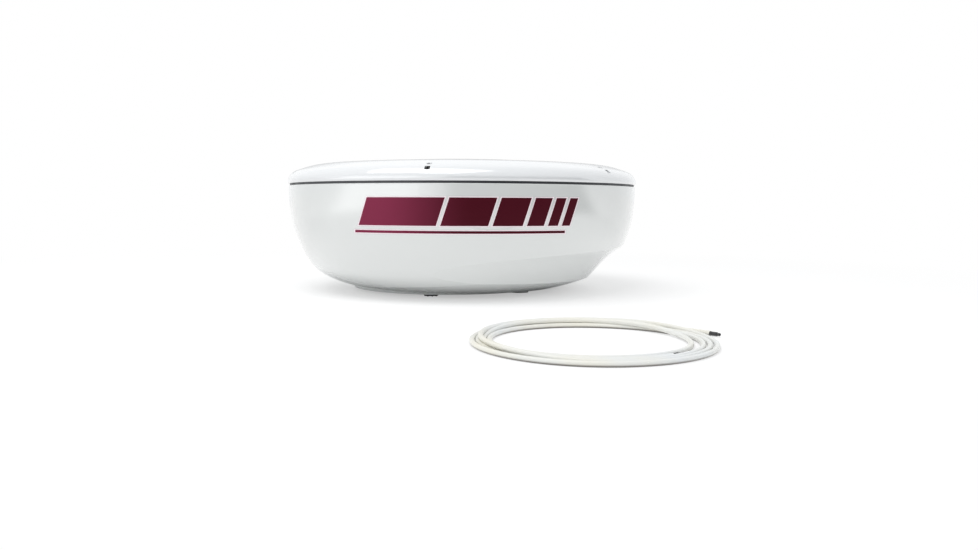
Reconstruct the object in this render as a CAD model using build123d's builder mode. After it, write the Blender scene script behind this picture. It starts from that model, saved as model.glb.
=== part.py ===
from build123d import *
from math import cos, pi, radians, sin, tan
import os

# Marine radar dome antenna, in millimetres. The origin is on the scanner's turning axis, in the
# plane of the four mounting pads. +Z is up, -X is forward, and the dome is alike about the XZ plane.

os.makedirs("parts", exist_ok=True)

# Radome shells
wall = 4.0
pad_height = 4.0
bowl_bottom = 7.0
floor_top = 11.0
rim_radius = 326.0
rim_top = 193.0
gasket_height = 4.0
lid_bottom = rim_top + gasket_height
lid_top = 242.0
flange_inner = 308.0
flange_thickness = 5.0
seam_inset = 2.0
plinth_radius = 181.0
plinth_x = -27.5
plinth_top = 10.0

# Six captive lid screws
screw_count = 6
screw_circle = 303.0
screw_angle = 30.0
boss_radius = 12.0
pocket_radius = 4.4
pocket_floor = 214.0
drain_height = 5.5
shank_radius = 2.4
head_radius = 3.6
washer_radius = 4.2
head_height = 4.5
insert_depth = 20.0
insert_bore = 2.6
insert_radius = 4.2
shank_tip = 177.0

# Mounting pattern and cable socket
mount_spacing_x = 233.0
mount_spacing_y = 141.5
mount_bore = 4.0
mount_insert_radius = 7.0
mount_insert_height = 28.0
mount_boss_radius = 13.0
mount_boss_height = 28.0
pad_radius = 18.0
socket_x = 96.0
socket_bore = 8.0
socket_depth = 12.0
socket_face = pad_height
vent_y = -163.0

# Chassis and drive
chassis_bottom = 64.0
chassis_top = 68.0
chassis_radius = 232.0
post_spacing = 304.0
post_radius = 9.0
chassis_screw_radius = 2.5
board_x = -110.0
board_bottom = 40.0
board_top = 41.6
board_spacing = (160.0, 92.0)
# Each chip's place and size along X and Y
chip_places = [(-150, 20, 22, 22), (-112, 18, 14, 14), (-80, 30, 10, 16), (-75, -5, 12, 8),
               (-118, -22, 16, 10), (-160, -18, 8, 14)]
housing_foot = 45.0
housing_radius = 31.0
housing_screw_circle = 38.0
housing_screw_radius = 2.5
bearing_radius = 23.5
ball_circle = 18.0
ball_radius = 2.7
ball_count = 11
race_width = 12.0
lower_race = 76.0
upper_race = 104.0
spindle_radius = 12.5
spindle_bore = 6.0
spindle_bottom = 72.0
spindle_flange = 26.0
rotor_screws = (40.0, 18.0)
rotor_screw_radius = 1.5
pulley_bottom = 121.0
pulley_top = 131.0
belt_pitch = 3.0
driven_teeth = 120
motor_teeth = 24
belt_bottom = 121.5
belt_width = 9.0
belt_thickness = 1.6
belt_clearance = 0.3
motor_x = -80.0
motor_y = -104.0
motor_size = 56.0
motor_holes = (36.0, 47.0)
motor_shaft_radius = 3.0
bridge_bottom = 116.0
bridge_top = 119.0

# Transmitter and receiver
transmitter_x = 116.0
magnetron_y = 56.0
magnetron_z = 92.0
receiver_y = -58.0
modulator_x = -15.0
modulator_y = 130.0
guide_foot = 58.7
probe_top = 133.0

# Scanner array
bracket_bottom = 135.0
array_length = 546.0
array_bottom = 138.0
array_top = 200.0
array_front = -12.0
array_back = 14.0
array_middle = (array_bottom + array_top) / 2
array_wall = 2.5
guide_bottom = 156.0

# Decal on the starboard flank: slanted blocks and a thin line, on a pale film that shows as an edge
film = 0.3
decal_turned = -77.5
decal_edge = 1.6
decal_low = 127.0
decal_high = 171.0
decal_slant = 14.0
decal_blocks = [(-178, -56), (-49, 25), (32, 80), (87, 115), (122, 139), (146, 160)]
decal_line_middle = (-16, 117)
decal_line_size = (336, 4)

# Loose cable: its coil lies in front of the dome and is turned about its own middle
cable_diameter = 6.5
coil_x = 258.0
coil_y = -612.0
coil_turned = 10.0
coil_inner = 114.5
coil_outer = 147.0
coil_spread = Vector(6, -10)
coil_height = 14.0
cable_middle = 3.3
plug_radius = 2.6
plug_length = 14.0

# Outlines as (radius, height). The bowl turns about Z. The scooped aft side turns about an axis that
# stands forward of Z and leans a little, and the forward notch about one that stands aft of it.
bowl_outline = [(186, 7), (208, 10.5), (240, 19.5), (265, 31), (283, 44), (296, 62), (307, 85),
                (317.5, 114), (324, 150), (rim_radius, rim_top)]
scoop_axis_x = -35.1
scoop_lean = 1.9
scoop_floor = [(145.7, -10), (185.2, 5), (236.8, 20), (276, 34.5)]
scoop_side = [(276, 34.5), (289.6, 50), (303.2, 65), (319.3, 80), (337.3, 95), (352, 115)]
notch_axis_x = 36.0
notch_side = [(298, 20), (325, 48), (333.8, 70), (339.6, 85)]
notch_ledge = (366, 98)
lid_outline = [(rim_radius, lid_bottom), (327, 205), (323.5, 212), (318.7, 217), (307, 222.5),
               (286, 229), (240, 233.8), (150, 239.3), (75, 241.4)]
beyond = 420.0

scoop_plane = Plane(origin=(scoop_axis_x, 0, 0),
                    x_dir=(cos(radians(scoop_lean)), 0, -sin(radians(scoop_lean))),
                    z_dir=(0, -1, 0))
notch_plane = Plane(origin=(notch_axis_x, 0, 0), x_dir=(1, 0, 0), z_dir=(0, -1, 0))
decal_plane = Plane(origin=(0, 0, 0), z_dir=(cos(radians(decal_turned)), sin(radians(decal_turned)), 0),
                    x_dir=(-sin(radians(decal_turned)), cos(radians(decal_turned)), 0))


def inset(outline, depth):
    """Move an outline that runs upwards inwards, along its normals."""
    moved = []
    for i, (radius, height) in enumerate(outline):
        before = Vector(*outline[max(i - 1, 0)])
        after = Vector(*outline[min(i + 1, len(outline) - 1)])
        along = (after - before).normalized()
        moved.append((radius - depth * along.Y, height + depth * along.X))
    return moved


def bowl_form(depth, bottom):
    """The bowl as a solid, made smaller by depth, from bottom to the rim."""
    bowl = inset(bowl_outline, depth)
    bowl[0], bowl[-1] = (bowl[0][0], bottom), (bowl[-1][0], rim_top)
    floor = inset(scoop_floor[:-1] + scoop_side[1:2], depth)[:-1]
    corner = inset([scoop_floor[-2], scoop_floor[-1], scoop_side[1]], depth)[1]
    side = [corner] + inset(scoop_side, depth)[1:]
    notch = inset(notch_side, depth)
    with BuildPart() as form:
        with BuildSketch(Plane.XZ):
            with BuildLine():
                Polyline(bowl[-1], (0, rim_top), (0, bottom), bowl[0])
                Spline(*bowl)
            make_face()
        revolve(axis=Axis.Z)
        with BuildSketch(scoop_plane):
            with BuildLine():
                Polyline((0, beyond), (0, floor[0][1]), floor[0])
                Spline(*floor, corner)
                Spline(*side)
                Polyline(side[-1], (beyond, 150), (beyond, beyond), (0, beyond))
            make_face()
        revolve(axis=Axis(scoop_plane.origin, scoop_plane.y_dir), mode=Mode.INTERSECT)
        with BuildSketch(notch_plane):
            with BuildLine():
                Polyline((0, beyond), (0, 0), (notch[0][0], 0), notch[0])
                Spline(*notch)
                Polyline(notch[-1], notch_ledge, (beyond, 150), (beyond, beyond), (0, beyond))
            make_face()
        revolve(axis=Axis(notch_plane.origin, notch_plane.y_dir), mode=Mode.INTERSECT)
    return form.part


def lid_form(depth, top):
    """The lid as a solid, made smaller by depth."""
    shoulder = inset(lid_outline, depth)
    shoulder[0] = (shoulder[0][0], lid_bottom)
    with BuildPart() as form:
        with BuildSketch(Plane.XZ):
            with BuildLine():
                Polyline((0, top), (0, lid_bottom), shoulder[0])
                Spline(*shoulder, (0, top))
            make_face()
        revolve(axis=Axis.Z)
    return form.part


def path_with_arcs(points, name):
    """Straight runs joined by arcs as large as the shorter run beside each corner allows."""
    radii = []
    for before, corner, after in zip(points, points[1:], points[2:]):
        arriving, leaving = Vector(*corner) - Vector(*before), Vector(*after) - Vector(*corner)
        turn = radians(arriving.get_angle(leaving))
        radii.append(0.45 * min(arriving.length, leaving.length) / tan(turn / 2))
    print(name, "radii", [round(radius, 1) for radius in radii])
    return FilletPolyline(*points, radius=radii)


def screw_places():
    return PolarLocations(screw_circle, screw_count, start_angle=screw_angle)


bowl_outside = bowl_form(0, bowl_bottom)
bowl_inside = bowl_form(wall, floor_top)
lid_outside = lid_form(0, lid_top)
lid_inside = lid_form(wall, lid_top - wall)

# --- Base casing: moulded bowl with plinth, pads, screw bosses and chassis posts ---
with BuildPart() as base_solids:
    with BuildSketch(Plane.XY.offset(floor_top - 1)):
        with GridLocations(post_spacing, post_spacing, 2, 2):
            Circle(post_radius)
    extrude(amount=chassis_bottom - floor_top + 1)
    with BuildSketch(Plane.XY.offset(bowl_bottom)):
        with GridLocations(mount_spacing_x, mount_spacing_y, 2, 2):
            Circle(mount_boss_radius)
    extrude(amount=mount_boss_height)
    with BuildSketch(Plane.XY.offset(165)):
        with screw_places():
            SlotCenterPoint((15, 0), (30, 0), 2 * boss_radius)
    extrude(amount=rim_top - 165)
    with BuildSketch(Plane.XY.offset(rim_top - flange_thickness)):
        Circle(rim_radius - 1)
        Circle(flange_inner, mode=Mode.SUBTRACT)
    extrude(amount=flange_thickness)
    add(bowl_outside, mode=Mode.INTERSECT)
with BuildPart() as base_casing:
    add(bowl_outside)
    add(bowl_inside, mode=Mode.SUBTRACT)
    add(base_solids.part)
    with BuildSketch(Plane.XY.offset(pad_height)):
        with Locations((plinth_x, 0)):
            Circle(plinth_radius)
    extrude(amount=plinth_top - pad_height)
    with BuildSketch():
        with GridLocations(mount_spacing_x, mount_spacing_y, 2, 2):
            Circle(pad_radius)
    extrude(amount=pad_height)
    with BuildSketch():
        with GridLocations(mount_spacing_x, mount_spacing_y, 2, 2):
            Circle(mount_insert_radius)
    extrude(amount=mount_insert_height, mode=Mode.SUBTRACT)
    with BuildSketch(Plane.XY.offset(pad_height)):
        with Locations((socket_x, 0)):
            Circle(20)
    extrude(amount=4, mode=Mode.SUBTRACT)
    with BuildSketch(Plane.XY.offset(pad_height)):
        with Locations((socket_x, 0)):
            Circle(12)
        with Locations((plinth_x, vent_y)):
            Circle(5)
    extrude(amount=30, mode=Mode.SUBTRACT)
    with BuildSketch(Plane.XY.offset(rim_top - insert_depth)):
        with screw_places():
            Circle(insert_radius)
    extrude(amount=insert_depth, mode=Mode.SUBTRACT)
base_casing.part.label = "base_casing"
export_step(base_casing.part, "parts/base_casing.step")

with BuildPart() as mount_inserts:
    with BuildSketch():
        with GridLocations(mount_spacing_x, mount_spacing_y, 2, 2):
            Circle(mount_insert_radius)
            Circle(mount_bore, mode=Mode.SUBTRACT)
    extrude(amount=mount_insert_height)
mount_inserts.part.label = "mount_inserts"
export_step(mount_inserts.part, "parts/mount_inserts.step")

with BuildPart() as lid_inserts:
    with BuildSketch(Plane.XY.offset(rim_top - insert_depth)):
        with screw_places():
            Circle(insert_radius)
            Circle(insert_bore, mode=Mode.SUBTRACT)
    extrude(amount=insert_depth)
lid_inserts.part.label = "lid_inserts"
export_step(lid_inserts.part, "parts/lid_inserts.step")

with BuildPart() as seam_gasket:
    with BuildSketch(Plane.XY.offset(rim_top)):
        Circle(rim_radius - seam_inset)
        Circle(rim_radius - 12, mode=Mode.SUBTRACT)
    extrude(amount=gasket_height - 0.1)
seam_gasket.part.label = "seam_gasket"
export_step(seam_gasket.part, "parts/seam_gasket.step")

with BuildPart() as breather_vent:
    with BuildSketch(Plane.XY.offset(1)):
        with Locations((plinth_x, vent_y)):
            Circle(13)
    extrude(amount=pad_height - 1)
    fillet(breather_vent.edges().group_by(Axis.Z)[0], 1.2)
    with BuildSketch(Plane.XY.offset(pad_height)):
        with Locations((plinth_x, vent_y)):
            Circle(5)
    extrude(amount=16)
    with BuildSketch(Plane.XY.offset(1)):
        with Locations((plinth_x, vent_y)):
            Circle(2)
    extrude(amount=19, mode=Mode.SUBTRACT)
breather_vent.part.label = "breather_vent"
export_step(breather_vent.part, "parts/breather_vent.step")



def decal_film(layer, grown):
    """One layer of film on the bowl's flank: the blocks and the line, grown by an edge."""
    with BuildPart() as sheet:
        with BuildSketch(decal_plane):
            for left, right in decal_blocks:
                with BuildLine():
                    Polyline((left, decal_low), (right, decal_low), (right + decal_slant, decal_high),
                             (left + decal_slant, decal_high), close=True)
                make_face()
            with Locations(decal_line_middle):
                Rectangle(*decal_line_size)
            if grown:
                offset(amount=grown, kind=Kind.INTERSECTION)
        extrude(amount=beyond)
        add(bowl_form(-film * layer, bowl_bottom), mode=Mode.INTERSECT)
        add(bowl_form(-film * (layer - 1), bowl_bottom), mode=Mode.SUBTRACT)
    return sheet.part


# --- Decal: cut vinyl on the bowl's flank, a pale film with the coloured one on it ---
with BuildPart() as decal_backing:
    add(decal_film(1, decal_edge))
decal_backing.part.label = "decal_backing"
export_step(decal_backing.part, "parts/decal_backing.step")

with BuildPart() as side_decal:
    add(decal_film(2, 0))
side_decal.part.label = "side_decal"
export_step(side_decal.part, "parts/side_decal.step")

# --- Cable socket: flanged shell from below, held by a nut inside ---
with BuildPart() as cable_socket:
    with BuildSketch(Plane.XY.offset(socket_face)):
        with Locations((socket_x, 0)):
            Circle(17)
    extrude(amount=3)
    with BuildSketch(Plane.XY.offset(socket_face + 3)):
        with Locations((socket_x, 0)):
            Circle(12)
    extrude(amount=19)
    with BuildSketch(Plane.XY.offset(socket_face)):
        with Locations((socket_x, 0)):
            Circle(socket_bore)
    extrude(amount=socket_depth, mode=Mode.SUBTRACT)
    with BuildSketch(Plane.XY.offset(socket_face + socket_depth)):
        with Locations((socket_x, 0)):
            Circle(1)
            with PolarLocations(4.6, 6):
                Circle(1)
    extrude(amount=12, mode=Mode.SUBTRACT)
cable_socket.part.label = "cable_socket"
export_step(cable_socket.part, "parts/cable_socket.step")

with BuildPart() as socket_contacts:
    with BuildSketch(Plane.XY.offset(socket_face + socket_depth)):
        with Locations((socket_x, 0)):
            Circle(1)
            with PolarLocations(4.6, 6):
                Circle(1)
    extrude(amount=13)
socket_contacts.part.label = "socket_contacts"
export_step(socket_contacts.part, "parts/socket_contacts.step")

with BuildPart() as socket_seal:
    with BuildSketch(Plane.XY.offset(socket_face + 3)):
        with Locations((socket_x, 0)):
            Circle(16)
            Circle(12, mode=Mode.SUBTRACT)
    extrude(amount=1)
socket_seal.part.label = "socket_seal"
export_step(socket_seal.part, "parts/socket_seal.step")

with BuildPart() as socket_nut:
    with BuildSketch(Plane.XY.offset(floor_top)):
        with Locations((socket_x, 0)):
            RegularPolygon(16, 6)
            Circle(12, mode=Mode.SUBTRACT)
    extrude(amount=5)
socket_nut.part.label = "socket_nut"
export_step(socket_nut.part, "parts/socket_nut.step")

# --- Chassis plate on four posts, with the control board hung below it ---
with BuildPart() as chassis_plate:
    with BuildSketch(Plane.XY.offset(chassis_bottom)):
        Circle(chassis_radius)
        Circle(8, mode=Mode.SUBTRACT)
        with Locations((transmitter_x - 0.35, 0)):
            Rectangle(14, 27, mode=Mode.SUBTRACT)
        with Locations((178, 0)):
            Rectangle(30, 70, mode=Mode.SUBTRACT)
        with Locations((-178, 60), (-150, 120)):
            Circle(16, mode=Mode.SUBTRACT)
        with GridLocations(post_spacing, post_spacing, 2, 2):
            Circle(chassis_screw_radius, mode=Mode.SUBTRACT)
    extrude(amount=chassis_top - chassis_bottom)
chassis_plate.part.label = "chassis_plate"
export_step(chassis_plate.part, "parts/chassis_plate.step")

with BuildPart() as chassis_screws:
    with BuildSketch(Plane.XY.offset(chassis_bottom)):
        with GridLocations(post_spacing, post_spacing, 2, 2):
            Circle(chassis_screw_radius)
    extrude(amount=chassis_top - chassis_bottom)
    with BuildSketch(Plane.XY.offset(chassis_top)):
        with GridLocations(post_spacing, post_spacing, 2, 2):
            Circle(5.5)
            RegularPolygon(2.3, 6, mode=Mode.SUBTRACT)
    extrude(amount=3.5)
chassis_screws.part.label = "chassis_screws"
export_step(chassis_screws.part, "parts/chassis_screws.step")

with BuildPart() as control_board:
    with BuildSketch(Plane.XY.offset(board_bottom)):
        with Locations((board_x, 0)):
            RectangleRounded(176, 108, 4)
    extrude(amount=board_top - board_bottom)
control_board.part.label = "control_board"
export_step(control_board.part, "parts/control_board.step")

with BuildPart() as board_standoffs:
    with BuildSketch(Plane.XY.offset(board_top)):
        with Locations((board_x, 0)):
            with GridLocations(*board_spacing, 2, 2):
                RegularPolygon(3.5, 6)
    extrude(amount=chassis_bottom - board_top)
board_standoffs.part.label = "board_standoffs"
export_step(board_standoffs.part, "parts/board_standoffs.step")

with BuildPart() as board_chips:
    with BuildSketch(Plane.XY.offset(board_top)):
        for x, y, length, width in chip_places:
            with Locations((x, y)):
                Rectangle(length, width)
    extrude(amount=2.4)
board_chips.part.label = "board_chips"
export_step(board_chips.part, "parts/board_chips.step")

with BuildPart() as board_capacitors:
    with BuildSketch(Plane.XY.offset(board_top)):
        with Locations((-55, 35)):
            with GridLocations(12, 12, 2, 1):
                Circle(5)
        with Locations((-92, -38)):
            with GridLocations(13, 12, 3, 1):
                Circle(4)
    extrude(amount=14)
board_capacitors.part.label = "board_capacitors"
export_step(board_capacitors.part, "parts/board_capacitors.step")

with BuildPart() as board_connectors:
    with BuildSketch(Plane.XY.offset(board_top)):
        with Locations((-30, 0), (-190, 0)):
            Rectangle(8, 26)
    extrude(amount=9)
board_connectors.part.label = "board_connectors"
export_step(board_connectors.part, "parts/board_connectors.step")

# --- Bearing housing and its two ball bearings ---
with BuildPart() as bearing_housing:
    with BuildSketch(Plane.XY.offset(chassis_top)):
        Circle(housing_foot)
    extrude(amount=6)
    with BuildSketch(Plane.XY.offset(chassis_top)):
        Circle(housing_radius)
    extrude(amount=50)
    with BuildSketch(Plane.XY.offset(lower_race)):
        Circle(bearing_radius)
    extrude(amount=45, mode=Mode.SUBTRACT)
    with BuildSketch(Plane.XY.offset(chassis_top)):
        Circle(14)
        with PolarLocations(housing_screw_circle, 4, start_angle=45):
            Circle(housing_screw_radius)
    extrude(amount=8, mode=Mode.SUBTRACT)
bearing_housing.part.label = "bearing_housing"
export_step(bearing_housing.part, "parts/bearing_housing.step")

with BuildPart() as housing_screws:
    with BuildSketch(Plane.XY.offset(chassis_top)):
        with PolarLocations(housing_screw_circle, 4, start_angle=45):
            Circle(housing_screw_radius)
    extrude(amount=6)
    with BuildSketch(Plane.XY.offset(chassis_top + 6)):
        with PolarLocations(housing_screw_circle, 4, start_angle=45):
            Circle(4.5)
            RegularPolygon(2, 6, mode=Mode.SUBTRACT)
    extrude(amount=4)
housing_screws.part.label = "housing_screws"
export_step(housing_screws.part, "parts/housing_screws.step")

race_centres = [lower_race + race_width / 2, upper_race + race_width / 2]
with BuildPart() as bearing_outer_races:
    for bottom in (lower_race, upper_race):
        with BuildSketch(Plane.XY.offset(bottom)):
            Circle(bearing_radius)
            Circle(20.2, mode=Mode.SUBTRACT)
        extrude(amount=race_width)
    for middle in race_centres:
        with BuildSketch(Plane.XZ):
            with Locations((ball_circle, middle)):
                Circle(ball_radius + 0.1)
        revolve(axis=Axis.Z, mode=Mode.SUBTRACT)
bearing_outer_races.part.label = "bearing_outer_races"
export_step(bearing_outer_races.part, "parts/bearing_outer_races.step")

with BuildPart() as bearing_inner_races:
    for bottom in (lower_race, upper_race):
        with BuildSketch(Plane.XY.offset(bottom)):
            Circle(15.8)
            Circle(spindle_radius, mode=Mode.SUBTRACT)
        extrude(amount=race_width)
    for middle in race_centres:
        with BuildSketch(Plane.XZ):
            with Locations((ball_circle, middle)):
                Circle(ball_radius + 0.1)
        revolve(axis=Axis.Z, mode=Mode.SUBTRACT)
bearing_inner_races.part.label = "bearing_inner_races"
export_step(bearing_inner_races.part, "parts/bearing_inner_races.step")

with BuildPart() as bearing_balls:
    for middle in race_centres:
        with Locations((0, 0, middle)):
            with PolarLocations(ball_circle, ball_count):
                Sphere(ball_radius)
bearing_balls.part.label = "bearing_balls"
export_step(bearing_balls.part, "parts/bearing_balls.step")

with BuildPart() as bearing_retainer:
    with BuildSketch(Plane.XY.offset(upper_race + race_width)):
        Circle(bearing_radius)
        Circle(20.5, mode=Mode.SUBTRACT)
        with Locations((22, 0)):
            Rectangle(8, 6, mode=Mode.SUBTRACT)
    extrude(amount=1.5)
bearing_retainer.part.label = "bearing_retainer"
export_step(bearing_retainer.part, "parts/bearing_retainer.step")

# --- Spindle, driven pulley and belt drive ---
with BuildPart() as rotor_spindle:
    with BuildSketch(Plane.XY.offset(spindle_bottom)):
        Circle(spindle_radius)
    extrude(amount=pulley_top - spindle_bottom)
    with BuildSketch(Plane.XY.offset(pulley_top)):
        Circle(spindle_flange)
        with GridLocations(*rotor_screws, 2, 2):
            Circle(rotor_screw_radius, mode=Mode.SUBTRACT)
    extrude(amount=bracket_bottom - pulley_top)
    with BuildSketch(Plane.XY.offset(spindle_bottom)):
        Circle(spindle_bore)
    extrude(amount=bracket_bottom - spindle_bottom, mode=Mode.SUBTRACT)
rotor_spindle.part.label = "rotor_spindle"
export_step(rotor_spindle.part, "parts/rotor_spindle.step")


def pulley_face(teeth):
    """Toothed outline: a disc at the belt's pitch radius with one gap for each tooth."""
    radius = teeth * belt_pitch / (2 * pi)
    with BuildSketch() as face:
        Circle(radius)
        with PolarLocations(radius, teeth):
            Rectangle(1.8, 1.3, mode=Mode.SUBTRACT)
    return face.sketch, radius


driven_face, driven_radius = pulley_face(driven_teeth)
motor_face, motor_pulley_radius = pulley_face(motor_teeth)
with BuildPart() as driven_pulley:
    with BuildSketch(Plane.XY.offset(pulley_bottom)):
        add(driven_face)
        Circle(spindle_radius, mode=Mode.SUBTRACT)
        with PolarLocations(36, 5, start_angle=54):
            Circle(11, mode=Mode.SUBTRACT)
        with GridLocations(*rotor_screws, 2, 2):
            Circle(rotor_screw_radius, mode=Mode.SUBTRACT)
    extrude(amount=pulley_top - pulley_bottom)
driven_pulley.part.label = "driven_pulley"
export_step(driven_pulley.part, "parts/driven_pulley.step")

with BuildPart() as motor_pulley:
    with BuildSketch(Plane.XY.offset(pulley_bottom)):
        with Locations((motor_x, motor_y)):
            add(motor_face)
    extrude(amount=pulley_top - pulley_bottom)
    with BuildSketch(Plane.XY.offset(pulley_bottom - 0.7), Plane.XY.offset(pulley_top)):
        with Locations((motor_x, motor_y)):
            Circle(14.5)
    extrude(amount=0.8)
    with BuildSketch(Plane.XY.offset(pulley_bottom - 0.7)):
        with Locations((motor_x, motor_y)):
            Circle(motor_shaft_radius)
    extrude(amount=14, mode=Mode.SUBTRACT)
motor_pulley.part.label = "motor_pulley"
export_step(motor_pulley.part, "parts/motor_pulley.step")

with BuildPart() as motor_shaft:
    with BuildSketch(Plane.XY.offset(78)):
        with Locations((motor_x, motor_y)):
            Circle(motor_shaft_radius)
    extrude(amount=pulley_top + 2 - 78)
motor_shaft.part.label = "motor_shaft"
export_step(motor_shaft.part, "parts/motor_shaft.step")


def belt_outline(spare):
    """The belt's line round both pulleys, spare outside their pitch circles."""
    with BuildSketch() as line:
        Circle(driven_radius + spare)
        with Locations((motor_x, motor_y)):
            Circle(motor_pulley_radius + spare)
        make_hull()
    return line.sketch


belt_outside = belt_outline(belt_clearance + belt_thickness)
belt_inside = belt_outline(belt_clearance)
with BuildPart() as drive_belt:
    with BuildSketch(Plane.XY.offset(belt_bottom)):
        add(belt_outside)
        add(belt_inside, mode=Mode.SUBTRACT)
    extrude(amount=belt_width)
drive_belt.part.label = "drive_belt"
export_step(drive_belt.part, "parts/drive_belt.step")

with BuildPart() as drive_motor:
    with BuildSketch(Plane.XY.offset(chassis_top + 6)):
        with Locations((motor_x, motor_y)):
            RectangleRounded(motor_size, motor_size, 5)
    extrude(amount=bridge_bottom - chassis_top - 6)
    with BuildSketch(Plane.XY.offset(76)):
        with Locations((motor_x, motor_y)):
            Circle(3.2)
    extrude(amount=50, mode=Mode.SUBTRACT)
    with BuildSketch(Plane.XY.offset(86), Plane.XY.offset(105)):
        with Locations((motor_x, motor_y)):
            Rectangle(motor_size + 2, motor_size + 2)
            RectangleRounded(motor_size - 2, motor_size - 2, 5, mode=Mode.SUBTRACT)
    extrude(amount=1, mode=Mode.SUBTRACT)
drive_motor.part.label = "drive_motor"
export_step(drive_motor.part, "parts/drive_motor.step")

with BuildPart() as motor_bridge:
    with BuildSketch(Plane(origin=(motor_x + 24, motor_y, 0), x_dir=(0, 1, 0), z_dir=(1, 0, 0))):
        with BuildLine():
            Polyline((-44, chassis_top), (-44, 71), (-34, 71), (-34, bridge_top), (34, bridge_top),
                     (34, 71), (44, 71), (44, chassis_top), (31, chassis_top), (31, bridge_bottom),
                     (-31, bridge_bottom), (-31, chassis_top), close=True)
        make_face()
    extrude(amount=-48)
    with BuildSketch(Plane.XY.offset(bridge_bottom)):
        with Locations((motor_x, motor_y)):
            Circle(9)
    extrude(amount=5, mode=Mode.SUBTRACT)
    with BuildSketch(Plane.XY.offset(bridge_bottom)):
        with Locations((motor_x, motor_y)):
            with GridLocations(*motor_holes, 2, 2):
                Circle(1.5)
    extrude(amount=5, mode=Mode.SUBTRACT)
motor_bridge.part.label = "motor_bridge"
export_step(motor_bridge.part, "parts/motor_bridge.step")

with BuildPart() as motor_screws:
    with BuildSketch(Plane.XY.offset(bridge_bottom)):
        with Locations((motor_x, motor_y)):
            with GridLocations(*motor_holes, 2, 2):
                Circle(1.5)
    extrude(amount=bridge_top - bridge_bottom)
    with BuildSketch(Plane.XY.offset(bridge_top)):
        with Locations((motor_x, motor_y)):
            with GridLocations(*motor_holes, 2, 2):
                Circle(2.8)
    extrude(amount=1.8)
motor_screws.part.label = "motor_screws"
export_step(motor_screws.part, "parts/motor_screws.step")

with BuildPart() as index_sensor:
    with BuildSketch(Plane.XY.offset(chassis_top)):
        with Locations((0, 54)):
            Rectangle(16, 16)
    extrude(amount=3)
    with BuildSketch(Plane.XY.offset(chassis_top)):
        with Locations((0, 56)):
            Rectangle(12, 3)
    extrude(amount=46)
    with BuildSketch(Plane.XY.offset(108)):
        with Locations((0, 50.5)):
            Rectangle(10, 8)
    extrude(amount=8)
index_sensor.part.label = "index_sensor"
export_step(index_sensor.part, "parts/index_sensor.step")

with BuildPart() as index_magnet:
    with BuildSketch(Plane.XY.offset(pulley_bottom - 2.5)):
        with Locations((0, 51)):
            Circle(3)
    extrude(amount=2.5)
index_magnet.part.label = "index_magnet"
export_step(index_magnet.part, "parts/index_magnet.step")

# --- Transmitter and receiver on the chassis ---
with BuildPart() as waveguide_run:
    with BuildSketch(Plane.XZ.offset(-12.7)):
        with BuildLine():
            Polyline((-10, 46), (122, 46), (122, chassis_top), (109.3, chassis_top), (109.3, guide_foot),
                     (-10, guide_foot), close=True)
        make_face()
    extrude(amount=25.4)
    with BuildSketch(Plane.XZ.offset(-11.4)):
        with BuildLine():
            Polyline((-8, 47.3), (120.7, 47.3), (120.7, chassis_top + 1), (110.6, chassis_top + 1),
                     (110.6, 57.4), (-8, 57.4), close=True)
        make_face()
    extrude(amount=22.8, mode=Mode.SUBTRACT)
    with BuildSketch(Plane.XY.offset(guide_foot)):
        Circle(12)
    extrude(amount=chassis_bottom - guide_foot)
    with BuildSketch(Plane.XY.offset(chassis_bottom)):
        Circle(3)
    extrude(amount=probe_top - chassis_bottom)
waveguide_run.part.label = "waveguide_run"
export_step(waveguide_run.part, "parts/waveguide_run.step")

with BuildPart() as circulator:
    with BuildSketch(Plane.XY.offset(chassis_top)):
        with Locations((transmitter_x, 0)):
            RectangleRounded(44, 40, 3)
    extrude(amount=24)
    with BuildSketch(Plane.XY.offset(chassis_top + 24)):
        with Locations((transmitter_x, 0)):
            Circle(13)
    extrude(amount=10)
circulator.part.label = "circulator"
export_step(circulator.part, "parts/circulator.step")

with BuildPart() as magnetron:
    with BuildSketch(Plane.XZ.offset(-20)):
        with Locations((transmitter_x, magnetron_z)):
            Rectangle(26, 20)
    extrude(amount=-24)
    with BuildSketch(Plane.XY.offset(80)):
        with Locations((transmitter_x, magnetron_y)):
            Circle(20)
    extrude(amount=28)
    with BuildSketch(Plane.XZ.offset(-70)):
        with Locations((transmitter_x, magnetron_z)):
            Circle(8)
    extrude(amount=-24)
magnetron.part.label = "magnetron"
export_step(magnetron.part, "parts/magnetron.step")

with BuildPart() as magnetron_magnet:
    with BuildSketch(Plane(origin=(transmitter_x, magnetron_y - 18, 0), x_dir=(1, 0, 0),
                           z_dir=(0, -1, 0))):
        with BuildLine():
            Polyline((-24, chassis_top), (34, chassis_top), (34, 120), (-24, 120), (-24, 108),
                     (22, 108), (22, 80), (-24, 80), close=True)
        make_face()
    extrude(amount=-36)
magnetron_magnet.part.label = "magnetron_magnet"
export_step(magnetron_magnet.part, "parts/magnetron_magnet.step")

with BuildPart() as receiver_module:
    with BuildSketch(Plane.XY.offset(chassis_top)):
        with Locations((transmitter_x, receiver_y)):
            Rectangle(62, 70)
    extrude(amount=22)
    with BuildSketch(Plane.XY.offset(chassis_top + 22)):
        with Locations((transmitter_x, receiver_y)):
            Rectangle(58, 66)
    extrude(amount=2)
    with BuildSketch(Plane.XZ.offset(93)):
        with Locations((transmitter_x - 12, 80), (transmitter_x + 12, 80)):
            Circle(4)
    extrude(amount=9)
    with BuildSketch(Plane.XZ.offset(20)):
        with Locations((transmitter_x, 80)):
            Circle(6)
    extrude(amount=3)
receiver_module.part.label = "receiver_module"
export_step(receiver_module.part, "parts/receiver_module.step")

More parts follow.
